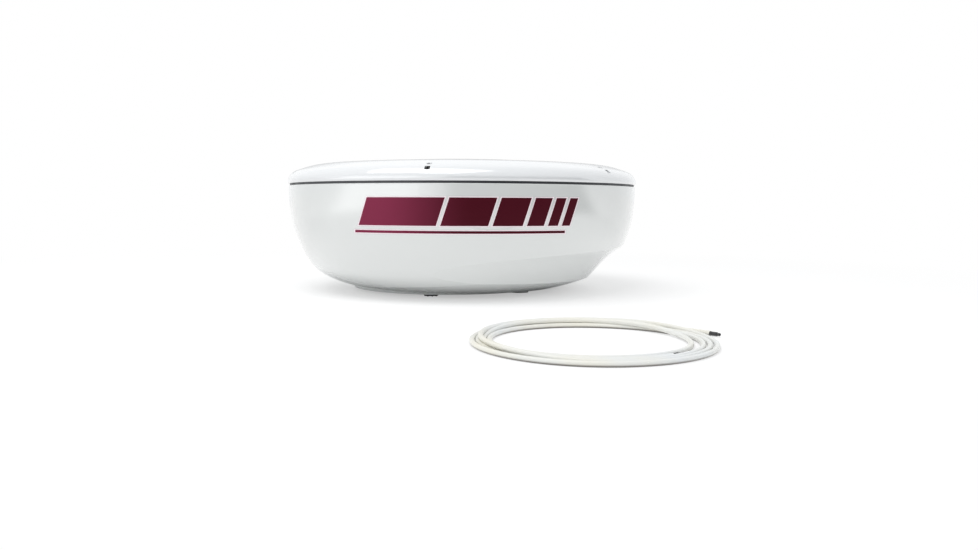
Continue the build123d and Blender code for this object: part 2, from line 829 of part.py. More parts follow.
with BuildPart() as modulator_box:
    with BuildSketch(Plane.XY.offset(chassis_top)):
        with Locations((modulator_x, modulator_y)):
            RectangleRounded(120, 86, 4)
    extrude(amount=50)
    with BuildSketch(Plane.XY.offset(chassis_top + 50)):
        with Locations((modulator_x, modulator_y)):
            with GridLocations(0, 12, 1, 6):
                SlotOverall(80, 4)
    extrude(amount=-2, mode=Mode.SUBTRACT)
modulator_box.part.label = "modulator_box"
export_step(modulator_box.part, "parts/modulator_box.step")

# --- Internal looms, each held along its whole route ---
with BuildPart() as power_loom:
    with BuildLine():
        path_with_arcs([(96, 0, 29), (96, 0, 37), (88, 12, 41), (70, 26, 40), (36, 32, 40),
                        (8, 28, 41), (-10, 16, 43.5), (-16, 10, 44), (-26, 10, 44)], "power_loom")
    with BuildSketch(Plane(origin=(96, 0, 29), z_dir=(0, 0, 1))):
        Circle(2.2)
    sweep()
power_loom.part.label = "power_loom"
export_step(power_loom.part, "parts/power_loom.step")

with BuildPart() as signal_loom:
    with BuildLine():
        path_with_arcs([(104, -102, 80), (104, -122, 80), (70, -150, 76), (10, -168, 72),
                        (-40, -172, 72)], "signal_loom")
    with BuildSketch(Plane(origin=(104, -102, 80), z_dir=(0, -1, 0))):
        Circle(2)
    sweep()
signal_loom.part.label = "signal_loom"
export_step(signal_loom.part, "parts/signal_loom.step")

# --- Scanner: bracket, array housing, slotted guide, front cover and end caps ---
with BuildPart() as antenna_bracket:
    with BuildSketch(Plane.XY.offset(bracket_bottom)):
        with Locations((2, 0)):
            RectangleRounded(62, 180, 6)
        Circle(spindle_bore + 1, mode=Mode.SUBTRACT)
        with GridLocations(*rotor_screws, 2, 2):
            Circle(rotor_screw_radius, mode=Mode.SUBTRACT)
    extrude(amount=array_bottom - bracket_bottom)
    with BuildSketch(Plane.XY.offset(array_bottom)):
        with Locations((array_back + 1.5, -66), (array_back + 1.5, 66)):
            Rectangle(3, 36)
    extrude(amount=36)
antenna_bracket.part.label = "antenna_bracket"
export_step(antenna_bracket.part, "parts/antenna_bracket.step")

with BuildPart() as rotor_bolts:
    with BuildSketch(Plane.XY.offset(pulley_bottom + 1)):
        with GridLocations(*rotor_screws, 2, 2):
            Circle(rotor_screw_radius)
    extrude(amount=array_bottom - pulley_bottom - 1)
    with BuildSketch(Plane.XY.offset(array_bottom)):
        with GridLocations(*rotor_screws, 2, 2):
            Circle(2.9)
    extrude(amount=2.5)
rotor_bolts.part.label = "rotor_bolts"
export_step(rotor_bolts.part, "parts/rotor_bolts.step")

with BuildPart() as array_housing:
    with BuildSketch(Plane.XZ.offset(-array_length / 2)):
        with BuildLine():
            Polyline((array_front, array_bottom), (array_back, array_bottom),
                     (array_back, array_top), (array_front, array_top),
                     (array_front, array_top - array_wall),
                     (array_back - array_wall, array_top - array_wall),
                     (array_back - array_wall, array_bottom + array_wall),
                     (array_front, array_bottom + array_wall), close=True)
        make_face()
    extrude(amount=array_length)
    with BuildSketch(Plane.XY.offset(array_bottom)):
        Rectangle(22, 44)
    extrude(amount=array_wall, mode=Mode.SUBTRACT)
array_housing.part.label = "array_housing"
export_step(array_housing.part, "parts/array_housing.step")

with BuildPart() as slotted_guide:
    with BuildSketch(Plane.XZ.offset(-array_length / 2 + 6)):
        with Locations((4.5, guide_bottom + 12)):
            Rectangle(13, 24)
            Rectangle(10, 21, mode=Mode.SUBTRACT)
    extrude(amount=array_length - 12)
    with BuildSketch(Plane(origin=(-2, 0, guide_bottom + 12), x_dir=(0, 1, 0), z_dir=(-1, 0, 0))):
        with GridLocations(20, 0, 26, 1):
            Rectangle(1.8, 17)
    extrude(amount=-1.5, mode=Mode.SUBTRACT)
slotted_guide.part.label = "slotted_guide"
export_step(slotted_guide.part, "parts/slotted_guide.step")

with BuildPart() as feed_transition:
    with BuildSketch(Plane.XY.offset(array_bottom)):
        with Locations((1, 0)):
            Rectangle(18, 40)
    extrude(amount=guide_bottom - array_bottom)
feed_transition.part.label = "feed_transition"
export_step(feed_transition.part, "parts/feed_transition.step")

with BuildPart() as array_cover:
    with BuildSketch(Plane.XZ.offset(-array_length / 2)):
        with BuildLine():
            Polyline((array_front, array_bottom), (array_front, array_top),
                     (array_front - 2, array_top))
            ThreePointArc((array_front - 2, array_top), (array_front - 8, array_middle),
                          (array_front - 2, array_bottom))
            Line((array_front - 2, array_bottom), (array_front, array_bottom))
        make_face()
    extrude(amount=array_length)
array_cover.part.label = "array_cover"
export_step(array_cover.part, "parts/array_cover.step")

with BuildPart() as array_end_caps:
    with BuildSketch(Plane.XZ.offset(-array_length / 2 - 2), Plane.XZ.offset(array_length / 2)):
        with Locations((0, array_middle)):
            RectangleRounded(30, array_top - array_bottom, 3)
    extrude(amount=2)
array_end_caps.part.label = "array_end_caps"
export_step(array_end_caps.part, "parts/array_end_caps.step")

# --- Lid: shallow dome with six screw pockets, which drain through a short slot each ---
with BuildPart() as lid_solids:
    with BuildSketch(Plane.XY.offset(lid_bottom)):
        with screw_places():
            SlotCenterPoint((15, 0), (30, 0), 2 * (pocket_radius + wall))
    extrude(amount=40)
    with BuildSketch(Plane.XY.offset(lid_bottom)):
        Circle(rim_radius - 1)
        Circle(flange_inner, mode=Mode.SUBTRACT)
    extrude(amount=flange_thickness)
    add(lid_outside, mode=Mode.INTERSECT)
with BuildPart() as lid_casing:
    add(lid_outside)
    add(lid_inside, mode=Mode.SUBTRACT)
    add(lid_solids.part)
    with BuildSketch(Plane.XY.offset(pocket_floor)):
        with screw_places():
            Circle(pocket_radius)
    extrude(amount=40, mode=Mode.SUBTRACT)
    with BuildSketch(Plane.XY.offset(pocket_floor)):
        with screw_places():
            SlotCenterPoint((20, 0), (40, 0), 2 * pocket_radius)
    extrude(amount=drain_height, mode=Mode.SUBTRACT)
    with BuildSketch(Plane.XY.offset(lid_bottom)):
        with screw_places():
            Circle(shank_radius)
    extrude(amount=30, mode=Mode.SUBTRACT)
lid_casing.part.label = "lid_casing"
export_step(lid_casing.part, "parts/lid_casing.step")

with BuildPart() as lid_washers:
    with BuildSketch(Plane.XY.offset(pocket_floor)):
        with screw_places():
            Circle(washer_radius)
            Circle(shank_radius, mode=Mode.SUBTRACT)
    extrude(amount=1)
lid_washers.part.label = "lid_washers"
export_step(lid_washers.part, "parts/lid_washers.step")

with BuildPart() as lid_screws:
    with BuildSketch(Plane.XY.offset(shank_tip)):
        with screw_places():
            Circle(shank_radius)
    extrude(amount=pocket_floor + 1 - shank_tip)
    with BuildSketch(Plane.XY.offset(pocket_floor + 1)):
        with screw_places():
            Circle(head_radius)
    extrude(amount=head_height)
    with BuildSketch(Plane.XY.offset(pocket_floor + 1 + head_height)):
        with screw_places():
            RegularPolygon(2.2, 6)
    extrude(amount=-2.5, mode=Mode.SUBTRACT)
lid_screws.part.label = "lid_screws"
export_step(lid_screws.part, "parts/lid_screws.step")

with BuildPart() as screw_retainers:
    with BuildSketch(Plane.XY.offset(lid_bottom - 1.5)):
        with screw_places():
            Circle(5)
            Circle(shank_radius, mode=Mode.SUBTRACT)
    extrude(amount=1.5)
screw_retainers.part.label = "screw_retainers"
export_step(screw_retainers.part, "parts/screw_retainers.step")

# --- Loose cable: coil, its free end and the two plugs ---
def coil_point(angle, radius, height):
    """A point of the cable, by its angle and radius about the coil's middle."""
    turned = radians(angle + coil_turned)
    return Vector(coil_x + radius * cos(turned), coil_y + radius * sin(turned), height)


coil_plane = Plane(origin=(coil_x, coil_y, 0), x_dir=(cos(radians(coil_turned)),
                                                      sin(radians(coil_turned)), 0))
with BuildPart() as cable_coil:
    with BuildSketch(coil_plane):
        with Locations(coil_spread):
            Circle(coil_outer)
        Circle(coil_inner, mode=Mode.SUBTRACT)
    extrude(amount=coil_height)
    fillet(cable_coil.edges().group_by(Axis.Z)[-1], 4)
cable_coil.part.label = "cable_coil"
export_step(cable_coil.part, "parts/cable_coil.step")

tail_route = [coil_point(44, 141, cable_middle), coil_point(34, 149, cable_middle),
              coil_point(25, 158, cable_middle), coil_point(17, 165, cable_middle)]
with BuildPart() as cable_tail:
    with BuildLine() as tail_line:
        path_with_arcs(tail_route, "cable_tail")
    with BuildSketch(Plane(origin=tail_line.line @ 0, z_dir=tail_line.line % 0)):
        Circle(cable_diameter / 2)
    sweep()
cable_tail.part.label = "cable_tail"
export_step(cable_tail.part, "parts/cable_tail.step")


def plug(start, direction):
    """A slim moulded plug: a round body and a narrower nose, from start along direction."""
    body_length = plug_length * 0.7
    with BuildPart() as body:
        with BuildSketch(Plane(origin=start, z_dir=direction)):
            Circle(plug_radius)
        extrude(amount=body_length)
        with BuildSketch(Plane(origin=start + direction * body_length, z_dir=direction)):
            Circle(plug_radius * 0.75)
        extrude(amount=plug_length - body_length)
    return body


outer_end = tail_route[-1]
cable_plug_outer = plug(outer_end, (outer_end - tail_route[-2]).normalized())
cable_plug_outer.part.label = "cable_plug_outer"
export_step(cable_plug_outer.part, "parts/cable_plug_outer.step")

inner_end = coil_point(-55, 126, cable_middle)
inner_nose = coil_point(-44, 125, cable_middle)
cable_plug_inner = plug(inner_end, (inner_nose - inner_end).normalized())
cable_plug_inner.part.label = "cable_plug_inner"
export_step(cable_plug_inner.part, "parts/cable_plug_inner.step")
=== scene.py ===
import bmesh
import bpy
from math import atan2, cos, pi, radians, sin, sqrt
from mathutils import Matrix, Vector


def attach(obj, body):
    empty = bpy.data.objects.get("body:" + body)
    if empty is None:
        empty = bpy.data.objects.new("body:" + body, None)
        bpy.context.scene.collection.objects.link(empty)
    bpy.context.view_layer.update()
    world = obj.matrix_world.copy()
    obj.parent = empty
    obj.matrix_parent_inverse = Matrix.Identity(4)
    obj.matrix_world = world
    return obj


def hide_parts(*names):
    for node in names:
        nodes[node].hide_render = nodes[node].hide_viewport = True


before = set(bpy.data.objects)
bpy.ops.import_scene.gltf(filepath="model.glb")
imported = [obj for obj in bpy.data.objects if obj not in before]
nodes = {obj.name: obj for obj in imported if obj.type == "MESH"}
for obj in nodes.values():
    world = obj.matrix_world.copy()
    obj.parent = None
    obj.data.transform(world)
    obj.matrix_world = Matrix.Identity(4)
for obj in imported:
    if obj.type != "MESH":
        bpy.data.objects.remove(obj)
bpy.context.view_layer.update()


# ---- Camera -------------------------------------------------------------------------------
# The camera stands just under the seam's height and looks down a little, so that the rim bows
# upwards and the lid shows only as a low crown. The lens is a mild wide angle, held close.
camera_angle = radians(10)
camera_distance = 1.6
camera_height = 0.161
camera_pitch = radians(-4.905)
camera_yaw = radians(-1.8)
camera_roll = radians(-0.26)
toward_camera = Vector((sin(camera_angle), -cos(camera_angle), 0))
camera_right = Vector((cos(camera_angle), sin(camera_angle), 0))

camera_data = bpy.data.cameras.new("camera")
camera_data.lens = 30.4
camera_data.sensor_width = 36
camera = bpy.data.objects.new("camera", camera_data)
bpy.context.scene.collection.objects.link(camera)
camera.location = toward_camera * camera_distance + Vector((0, 0, camera_height))
camera.rotation_euler = (radians(90) + camera_pitch, camera_roll, camera_angle + camera_yaw)
bpy.context.scene.camera = camera


# ---- Loose cable --------------------------------------------------------------------------
# About four metres of ivory PVC cable, dropped as it came off the reel: bunched at the back,
# spread side by side at the front. The jacket is bluer on some turns than on others, and its
# colour is darkened towards the floor with painted shade, so each strand has a dark underside.
cable_diameter = 0.0065
coil_middle = Vector((0.258, -0.612, 0))
coil_turned = radians(10)
first_radius = 0.118


def coil_point(angle, radius, height):
    turned = radians(angle) + coil_turned
    return coil_middle + Vector((radius * cos(turned), radius * sin(turned), height))


def eased(share):
    share = max(0.0, min(1.0, share))
    return share * share * (3 - 2 * share)


# Where the cable lies each time it passes the front, left, back and right of the coil: how many
# diameters outside the first turn, and how many layers up.
lies = [(1.25, 0), (1.05, 0), (0.55, 0.9), (0, 0),
        (0.0, 0), (0.0, 0), (0.0, 0), (2.0, 0),
        (2.5, 0), (2.1, 0), (1.05, 0), (3.2, 0),
        (3.7, 0), (1.6, 0.9), (1.6, 0.9), (4.4, 0),
        (5.0, 0), (3.2, 0), (2.15, 0), (6.6, 0)]
cable_middle = 0.0033
cable_points = [coil_point(-55, 0.126, cable_middle), coil_point(-61, 0.1262, cable_middle),
                coil_point(-68, 0.1263, cable_middle), coil_point(-78, 0.1262, cable_middle)]
quarter_steps = 5
for passing in range(len(lies) - 1):
    (out_a, up_a), (out_b, up_b) = lies[passing], lies[passing + 1]
    for step in range(quarter_steps):
        share = step / quarter_steps
        angle = -90 - 90 * (passing + share)
        if passing == len(lies) - 2 and angle < -90 - 90 * (len(lies) - 1) + 44:
            break
        rising = up_b > up_a
        out = out_a + (out_b - out_a) * eased((share - 0.2) / 0.8 if rising else share)
        up = up_a + (up_b - up_a) * eased(share / 0.6 if rising else (share - 0.4) / 0.6)
        cable_points.append(coil_point(angle, first_radius + out * cable_diameter,
                                       cable_diameter * (0.5 + up)))
cable_points += [coil_point(44, 0.141, cable_middle), coil_point(34, 0.149, cable_middle),
                 coil_point(25, 0.158, cable_middle), coil_point(17, 0.165, cable_middle)]


def tube_along(name, points, diameter):
    """A round tube whose middle is one smooth NURBS line through the route. Each point carries
    the tube's radius, which keeps the line's own box as small as the tube's."""
    line = bpy.data.curves.new(name, "CURVE")
    line.dimensions = "3D"
    line.resolution_u = 6
    line.bevel_depth = 1.0
    line.bevel_resolution = 3
    line.use_fill_caps = True
    spline = line.splines.new("NURBS")
    spline.points.add(len(points) - 1)
    for point, place in zip(spline.points, points):
        point.co = (*place, 1)
        point.radius = diameter / 2
    spline.order_u = 3
    spline.use_endpoint_u = True
    tube = bpy.data.objects.new(name, line)
    bpy.context.scene.collection.objects.link(tube)
    return tube


cable = tube_along("loose_cable", cable_points, cable_diameter)
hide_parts("cable_coil", "cable_tail")
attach(cable, "base")


def shade_group(name, inputs, output):
    """An empty shader group with named value or colour inputs and one output."""
    group = bpy.data.node_groups.new(name, "ShaderNodeTree")
    for label, value in inputs:
        kind = "NodeSocketColor" if isinstance(value, tuple) else "NodeSocketFloat"
        socket = group.interface.new_socket(label, in_out="INPUT", socket_type=kind)
        socket.default_value = value
    label, kind = output
    group.interface.new_socket(label, in_out="OUTPUT", socket_type=kind)
    return group, group.nodes.new("NodeGroupInput"), group.nodes.new("NodeGroupOutput")


uneven, uneven_in, uneven_out = shade_group(
    "uneven", [("Scale", 20.0), ("Low", 0.2), ("High", 0.3)], ("Value", "NodeSocketFloat"))
place = uneven.nodes.new("ShaderNodeTexCoord")
cloud = uneven.nodes.new("ShaderNodeTexNoise")
cloud.inputs["Detail"].default_value = 4
spread = uneven.nodes.new("ShaderNodeMapRange")
spread.inputs["From Min"].default_value = 0.3
spread.inputs["From Max"].default_value = 0.7
uneven.links.new(place.outputs["Object"], cloud.inputs["Vector"])
uneven.links.new(uneven_in.outputs["Scale"], cloud.inputs["Scale"])
uneven.links.new(cloud.outputs["Fac"], spread.inputs["Value"])
uneven.links.new(uneven_in.outputs["Low"], spread.inputs["To Min"])
uneven.links.new(uneven_in.outputs["High"], spread.inputs["To Max"])
uneven.links.new(spread.outputs["Result"], uneven_out.inputs["Value"])

mottled, mottled_in, mottled_out = shade_group(
    "mottled", [("Scale", 10.0), ("One", (0.8, 0.8, 0.8, 1)), ("Other", (0.7, 0.7, 0.7, 1))],
    ("Color", "NodeSocketColor"))
place = mottled.nodes.new("ShaderNodeTexCoord")
cloud = mottled.nodes.new("ShaderNodeTexNoise")
cloud.inputs["Detail"].default_value = 5
blended = mottled.nodes.new("ShaderNodeMix")
blended.data_type = "RGBA"
mottled.links.new(place.outputs["Object"], cloud.inputs["Vector"])
mottled.links.new(mottled_in.outputs["Scale"], cloud.inputs["Scale"])
mottled.links.new(cloud.outputs["Fac"], blended.inputs["Factor"])
mottled.links.new(mottled_in.outputs["One"], blended.inputs["A"])
mottled.links.new(mottled_in.outputs["Other"], blended.inputs["B"])
mottled.links.new(blended.outputs["Result"], mottled_out.inputs["Color"])

skin, skin_in, skin_out = shade_group(
    "skin", [("Scale", 60.0), ("Depth", 0.0001)], ("Normal", "NodeSocketVector"))
place = skin.nodes.new("ShaderNodeTexCoord")
cloud = skin.nodes.new("ShaderNodeTexNoise")
cloud.inputs["Detail"].default_value = 3
bump = skin.nodes.new("ShaderNodeBump")
bump.inputs["Strength"].default_value = 1.0
skin.links.new(place.outputs["Object"], cloud.inputs["Vector"])
skin.links.new(skin_in.outputs["Scale"], cloud.inputs["Scale"])
skin.links.new(cloud.outputs["Fac"], bump.inputs["Height"])
skin.links.new(skin_in.outputs["Depth"], bump.inputs["Distance"])
skin.links.new(bump.outputs["Normal"], skin_out.inputs["Normal"])


def put(tree, group, **values):
    """A shader group placed in a material with its own values."""
    node = tree.nodes.new("ShaderNodeGroup")
    node.node_tree = group
    for label, value in values.items():
        node.inputs[label].default_value = value
    return node


def finish(name, one, other, rough, grain, depth, tint_scale=12.0, rough_scale=25.0, **fixed):
    """A material of two close colours, uneven roughness and a fine skin, with fixed values."""
    made = bpy.data.materials.new(name)
    made.use_nodes = True
    tree = made.node_tree
    shader = tree.nodes["Principled BSDF"]
    tint = put(tree, mottled, Scale=tint_scale, One=(*one, 1), Other=(*other, 1))
    gloss = put(tree, uneven, Scale=rough_scale, Low=rough[0], High=rough[1])
    face = put(tree, skin, Scale=grain, Depth=depth)
    tree.links.new(tint.outputs["Color"], shader.inputs["Base Color"])
    tree.links.new(gloss.outputs["Value"], shader.inputs["Roughness"])
    tree.links.new(face.outputs["Normal"], shader.inputs["Normal"])
    for label, value in fixed.items():
        shader.inputs[label.replace("_", " ")].default_value = value
    return made


def wear(node, material):
    """Gives a CAD piece its finish."""
    held = nodes[node].data.materials
    for index in range(len(held)):
        held[index] = material
    if not len(held):
        held.append(material)


def faded(tree, value, start, end, near, far):
    """A smooth step from near to far as value goes from start to end."""
    step = tree.nodes.new("ShaderNodeMapRange")
    step.interpolation_type = "SMOOTHSTEP"
    for label, number in (("From Min", start), ("From Max", end), ("To Min", near), ("To Max", far)):
        step.inputs[label].default_value = number
    tree.links.new(value, step.inputs["Value"])
    return step.outputs["Result"]


jacket = finish("cable_jacket", (0.78, 0.73, 0.57), (0.68, 0.73, 0.81), (0.3, 0.44), 350.0,
                0.00008, tint_scale=9.0, rough_scale=30.0, Specular_IOR_Level=0.2)
jacket_tree = jacket.node_tree
jacket_shader = jacket_tree.nodes["Principled BSDF"]
jacket_place = jacket_tree.nodes.new("ShaderNodeTexCoord")
jacket_level = jacket_tree.nodes.new("ShaderNodeSeparateXYZ")
jacket_tree.links.new(jacket_place.outputs["Object"], jacket_level.inputs["Vector"])
# Painted shade: the colour is mixed towards a dark brown-grey below about 3.6 mm above the floor, the
# underside of the turns lying on it, where shade falls under and between them.
underside_shade = jacket_tree.nodes.new("ShaderNodeMix")
underside_shade.data_type = "RGBA"
underside_shade.inputs["B"].default_value = (0.14, 0.125, 0.11, 1)
jacket_tree.links.new(jacket_shader.inputs["Base Color"].links[0].from_socket, underside_shade.inputs["A"])
jacket_tree.links.new(faded(jacket_tree, jacket_level.outputs["Z"], 0.0008, 0.0036, 1.0, 0.0),
                      underside_shade.inputs["Factor"])
jacket_tree.links.new(underside_shade.outputs["Result"], jacket_shader.inputs["Base Color"])
cable.data.materials.append(jacket)
for piece in ("cable_coil", "cable_tail"):
    wear(piece, jacket)


# ---- Cable plugs --------------------------------------------------------------------------
# A slim plug is moulded on each end of the cable: a grip with finger grooves, a ribbed strain
# relief behind it and a narrower nose with the contact well in its face. It is glass-filled
# nylon from a spark-eroded tool, which leaves a fine matt grain.
def turned_body(name, outline, start, direction, sides=40):
    """A closed body turned about a line; outline gives (distance along it, radius) pairs."""
    lathe = bmesh.new()
    rings = []
    for along, reach in outline:
        rings.append([lathe.verts.new((reach * cos(2 * pi * k / sides),
                                       reach * sin(2 * pi * k / sides), along))
                      for k in range(sides)])
    for low, high in zip(rings, rings[1:]):
        for k in range(sides):
            lathe.faces.new((low[k], low[(k + 1) % sides], high[(k + 1) % sides], high[k]))
    lathe.faces.new(list(reversed(rings[0])))
    lathe.faces.new(rings[-1])
    bmesh.ops.recalc_face_normals(lathe, faces=lathe.faces)
    lathe.transform(Matrix.Translation(start) @ direction.to_track_quat("Z", "Y").to_matrix().to_4x4())
    shape = bpy.data.meshes.new(name)
    lathe.to_mesh(shape)
    lathe.free()
    body = bpy.data.objects.new(name, shape)
    bpy.context.scene.collection.objects.link(body)
    return body


grip_radius, ridge_foot, groove_floor = 0.0026, 0.0024, 0.00235
nose_radius, well_radius, plug_length = 0.00195, 0.0013, 0.014
grip_end = 0.0098
plug_outline = [(0, grip_radius)]
for ridge in range(3):
    foot = 0.0002 + ridge * 0.001
    plug_outline += [(foot, grip_radius), (foot + 0.0005, grip_radius),
                     (foot + 0.0006, ridge_foot), (foot + 0.0009, ridge_foot)]
for groove in range(4):
    edge = 0.0036 + groove * 0.0014
    plug_outline += [(edge, grip_radius), (edge + 0.0003, groove_floor),
                     (edge + 0.0007, groove_floor), (edge + 0.001, grip_radius)]
plug_outline += [(0.0096, grip_radius), (grip_end, 0.0023), (grip_end, nose_radius),
                 (0.0136, nose_radius), (plug_length, 0.0017), (plug_length, well_radius),
                 (0.0118, 0.0012)]
outer_start = coil_point(17, 0.165, cable_middle)
outer_way = outer_start - coil_point(25, 0.158, cable_middle)
inner_start = coil_point(-55, 0.126, cable_middle)
inner_way = coil_point(-44, 0.125, cable_middle) - inner_start
plug_outer = turned_body("plug_outer", plug_outline, outer_start, outer_way)
plug_inner = turned_body("plug_inner", plug_outline, inner_start, inner_way)
black_moulding = finish("black_moulding", (0.018, 0.018, 0.02), (0.03, 0.03, 0.032), (0.42, 0.58),
                        1400.0, 0.00012, tint_scale=40.0, rough_scale=60.0)
for plug, stands_for in ((plug_outer, "cable_plug_outer"), (plug_inner, "cable_plug_inner")):
    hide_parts(stands_for)
    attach(plug, "base")
    plug.data.materials.append(black_moulding)
    wear(stands_for, black_moulding)


# ---- Floor and light ----------------------------------------------------------------------
# A plain pale floor in a bright room, with one big soft box overhead. A tall window stands to the
# left of the camera and dark curtains to its right, and the gloss shows them. What reflections and
# bounced light see of the floor and the room is set apart from what the camera sees. The floor
# glows with painted light: in reflections, brighter in front of the dome; to bounced light, in a
# ring round the dome's foot; and to the camera, in plain white that lifts about half of the dome's
# cast shadow near it and whitens the floor further out.
floor_radius = 14
floor_mesh = bpy.data.meshes.new("floor")
floor_build = bmesh.new()
bmesh.ops.create_circle(floor_build, cap_ends=True, segments=96, radius=floor_radius)
floor_build.to_mesh(floor_mesh)
floor_build.free()
floor = bpy.data.objects.new("floor", floor_mesh)
bpy.context.scene.collection.objects.link(floor)
bpy.context.scene.view_settings.view_transform = "Standard"

around = bpy.data.node_groups.new("around", "ShaderNodeTree")
around.interface.new_socket("Direction", in_out="INPUT", socket_type="NodeSocketVector")
around.interface.new_socket("Light", in_out="OUTPUT", socket_type="NodeSocketFloat")
around_in = around.nodes.new("NodeGroupInput")
around_out = around.nodes.new("NodeGroupOutput")
bearing = around.nodes.new("ShaderNodeMath")
bearing.operation = "ARCTAN2"
for slot, way in enumerate((camera_right, toward_camera)):
    along = around.nodes.new("ShaderNodeVectorMath")
    along.operation = "DOT_PRODUCT"
    along.inputs[1].default_value = way
    around.links.new(around_in.outputs["Direction"], along.inputs[0])
    around.links.new(along.outputs["Value"], bearing.inputs[slot])
# Each is the bearing of its middle, the half widths where it is full and where it ends, in
# degrees, and how much light it adds to the back wall's
back_wall = 0.65
front_wall, side_walls = (0, 75, 120, 0.4), (0, 155, 174, 0.4)
tall_window, dark_curtains = (-52, 14, 40, 1.3), (36, 38, 54, -1.35)
total = None
for middle, inner, outer, height in (front_wall, side_walls, tall_window, dark_curtains):
    offset = around.nodes.new("ShaderNodeMath")
    offset.operation = "SUBTRACT"
    offset.inputs[1].default_value = radians(middle)
    away = around.nodes.new("ShaderNodeMath")
    away.operation = "ABSOLUTE"
    bump = around.nodes.new("ShaderNodeMapRange")
    bump.interpolation_type = "SMOOTHERSTEP"
    bump.inputs["From Min"].default_value = radians(inner)
    bump.inputs["From Max"].default_value = radians(outer)
    bump.inputs["To Min"].default_value = height
    bump.inputs["To Max"].default_value = 0
    added = around.nodes.new("ShaderNodeMath")
    around.links.new(bearing.outputs[0], offset.inputs[0])
    around.links.new(offset.outputs[0], away.inputs[0])
    around.links.new(away.outputs[0], bump.inputs["Value"])
    around.links.new(bump.outputs["Result"], added.inputs[0])
    if total:
        around.links.new(total.outputs[0], added.inputs[1])
    else:
        added.inputs[1].default_value = back_wall
    total = added
around.links.new(total.outputs[0], around_out.inputs["Light"])


def blend_values(tree, share, one, other):
    """one where share is 0 and other where it is 1."""
    mix = tree.nodes.new("ShaderNodeMix")
    tree.links.new(share, mix.inputs["Factor"])
    for socket, value in ((mix.inputs["A"], one), (mix.inputs["B"], other)):
        if isinstance(value, float):
            socket.default_value = value
        else:
            tree.links.new(value, socket)
    return mix.outputs["Result"]


floor_paint = bpy.data.materials.new("floor_paint")
floor_paint.use_nodes = True
paint = floor_paint.node_tree
floor_shader = paint.nodes["Principled BSDF"]
floor_shader.inputs["Base Color"].default_value = (0.93, 0.93, 0.93, 1)
floor_shader.inputs["Roughness"].default_value = 0.8
floor_shader.inputs["Specular IOR Level"].default_value = 0.1
spot = paint.nodes.new("ShaderNodeTexCoord")
reach = paint.nodes.new("ShaderNodeVectorMath")
reach.operation = "LENGTH"
paint.links.new(spot.outputs["Object"], reach.inputs[0])
seen_round = paint.nodes.new("ShaderNodeGroup")
seen_round.node_tree = around
paint.links.new(spot.outputs["Object"], seen_round.inputs["Direction"])
far_share = faded(paint, reach.outputs["Value"], 0.75, 1.5, 0.0, 1.0)
sheen = paint.nodes.new("ShaderNodeEmission")
toward_front = paint.nodes.new("ShaderNodeVectorMath")
toward_front.operation = "DOT_PRODUCT"
toward_front.inputs[1].default_value = toward_camera
paint.links.new(spot.outputs["Object"], toward_front.inputs[0])
near_light = faded(paint, toward_front.outputs["Value"], -0.1, 0.35, 1.05, 1.45)
paint.links.new(blend_values(paint, far_share, near_light, seen_round.outputs["Light"]),
                sheen.inputs["Strength"])
floor_ray = paint.nodes.new("ShaderNodeLightPath")
floor_mix = paint.nodes.new("ShaderNodeMixShader")
near_share = faded(paint, reach.outputs["Value"], 0.25, 0.45, 0.0, 1.0)
gloss_share = paint.nodes.new("ShaderNodeMath")
gloss_share.operation = "MULTIPLY"
paint.links.new(floor_ray.outputs["Is Glossy Ray"], gloss_share.inputs[0])
paint.links.new(near_share, gloss_share.inputs[1])
paint.links.new(gloss_share.outputs[0], floor_mix.inputs["Fac"])
paint.links.new(floor_shader.outputs["BSDF"], floor_mix.inputs[1])
paint.links.new(sheen.outputs["Emission"], floor_mix.inputs[2])
bounce = paint.nodes.new("ShaderNodeEmission")
bounce.inputs["Strength"].default_value = 1.25
bounce_ring = paint.nodes.new("ShaderNodeMath")
bounce_ring.operation = "MULTIPLY"
paint.links.new(faded(paint, reach.outputs["Value"], 0.15, 0.4, 0.0, 1.0), bounce_ring.inputs[0])
paint.links.new(faded(paint, reach.outputs["Value"], 0.42, 0.58, 1.0, 0.0), bounce_ring.inputs[1])
bounce_share = paint.nodes.new("ShaderNodeMath")
bounce_share.operation = "MULTIPLY"
paint.links.new(floor_ray.outputs["Is Diffuse Ray"], bounce_share.inputs[0])
paint.links.new(bounce_ring.outputs[0], bounce_share.inputs[1])
bounce_mix = paint.nodes.new("ShaderNodeMixShader")
paint.links.new(bounce_share.outputs[0], bounce_mix.inputs["Fac"])
paint.links.new(floor_mix.outputs["Shader"], bounce_mix.inputs[1])
paint.links.new(bounce.outputs["Emission"], bounce_mix.inputs[2])
# Painted light: to the camera the floor is mixed with a plain white glow, 45 percent near the dome,
# which lifts its cast shadow, and fully from 1.5 m out.
camera_glow = paint.nodes.new("ShaderNodeEmission")
camera_glow_share = paint.nodes.new("ShaderNodeMath")
camera_glow_share.operation = "MULTIPLY"
paint.links.new(floor_ray.outputs["Is Camera Ray"], camera_glow_share.inputs[0])
paint.links.new(faded(paint, reach.outputs["Value"], 0.3, 1.5, 0.45, 1.0), camera_glow_share.inputs[1])
camera_glow_mix = paint.nodes.new("ShaderNodeMixShader")
paint.links.new(camera_glow_share.outputs[0], camera_glow_mix.inputs["Fac"])
paint.links.new(bounce_mix.outputs["Shader"], camera_glow_mix.inputs[1])
paint.links.new(camera_glow.outputs["Emission"], camera_glow_mix.inputs[2])
paint.links.new(camera_glow_mix.outputs["Shader"], paint.nodes["Material Output"].inputs["Surface"])
floor_mesh.materials.append(floor_paint)

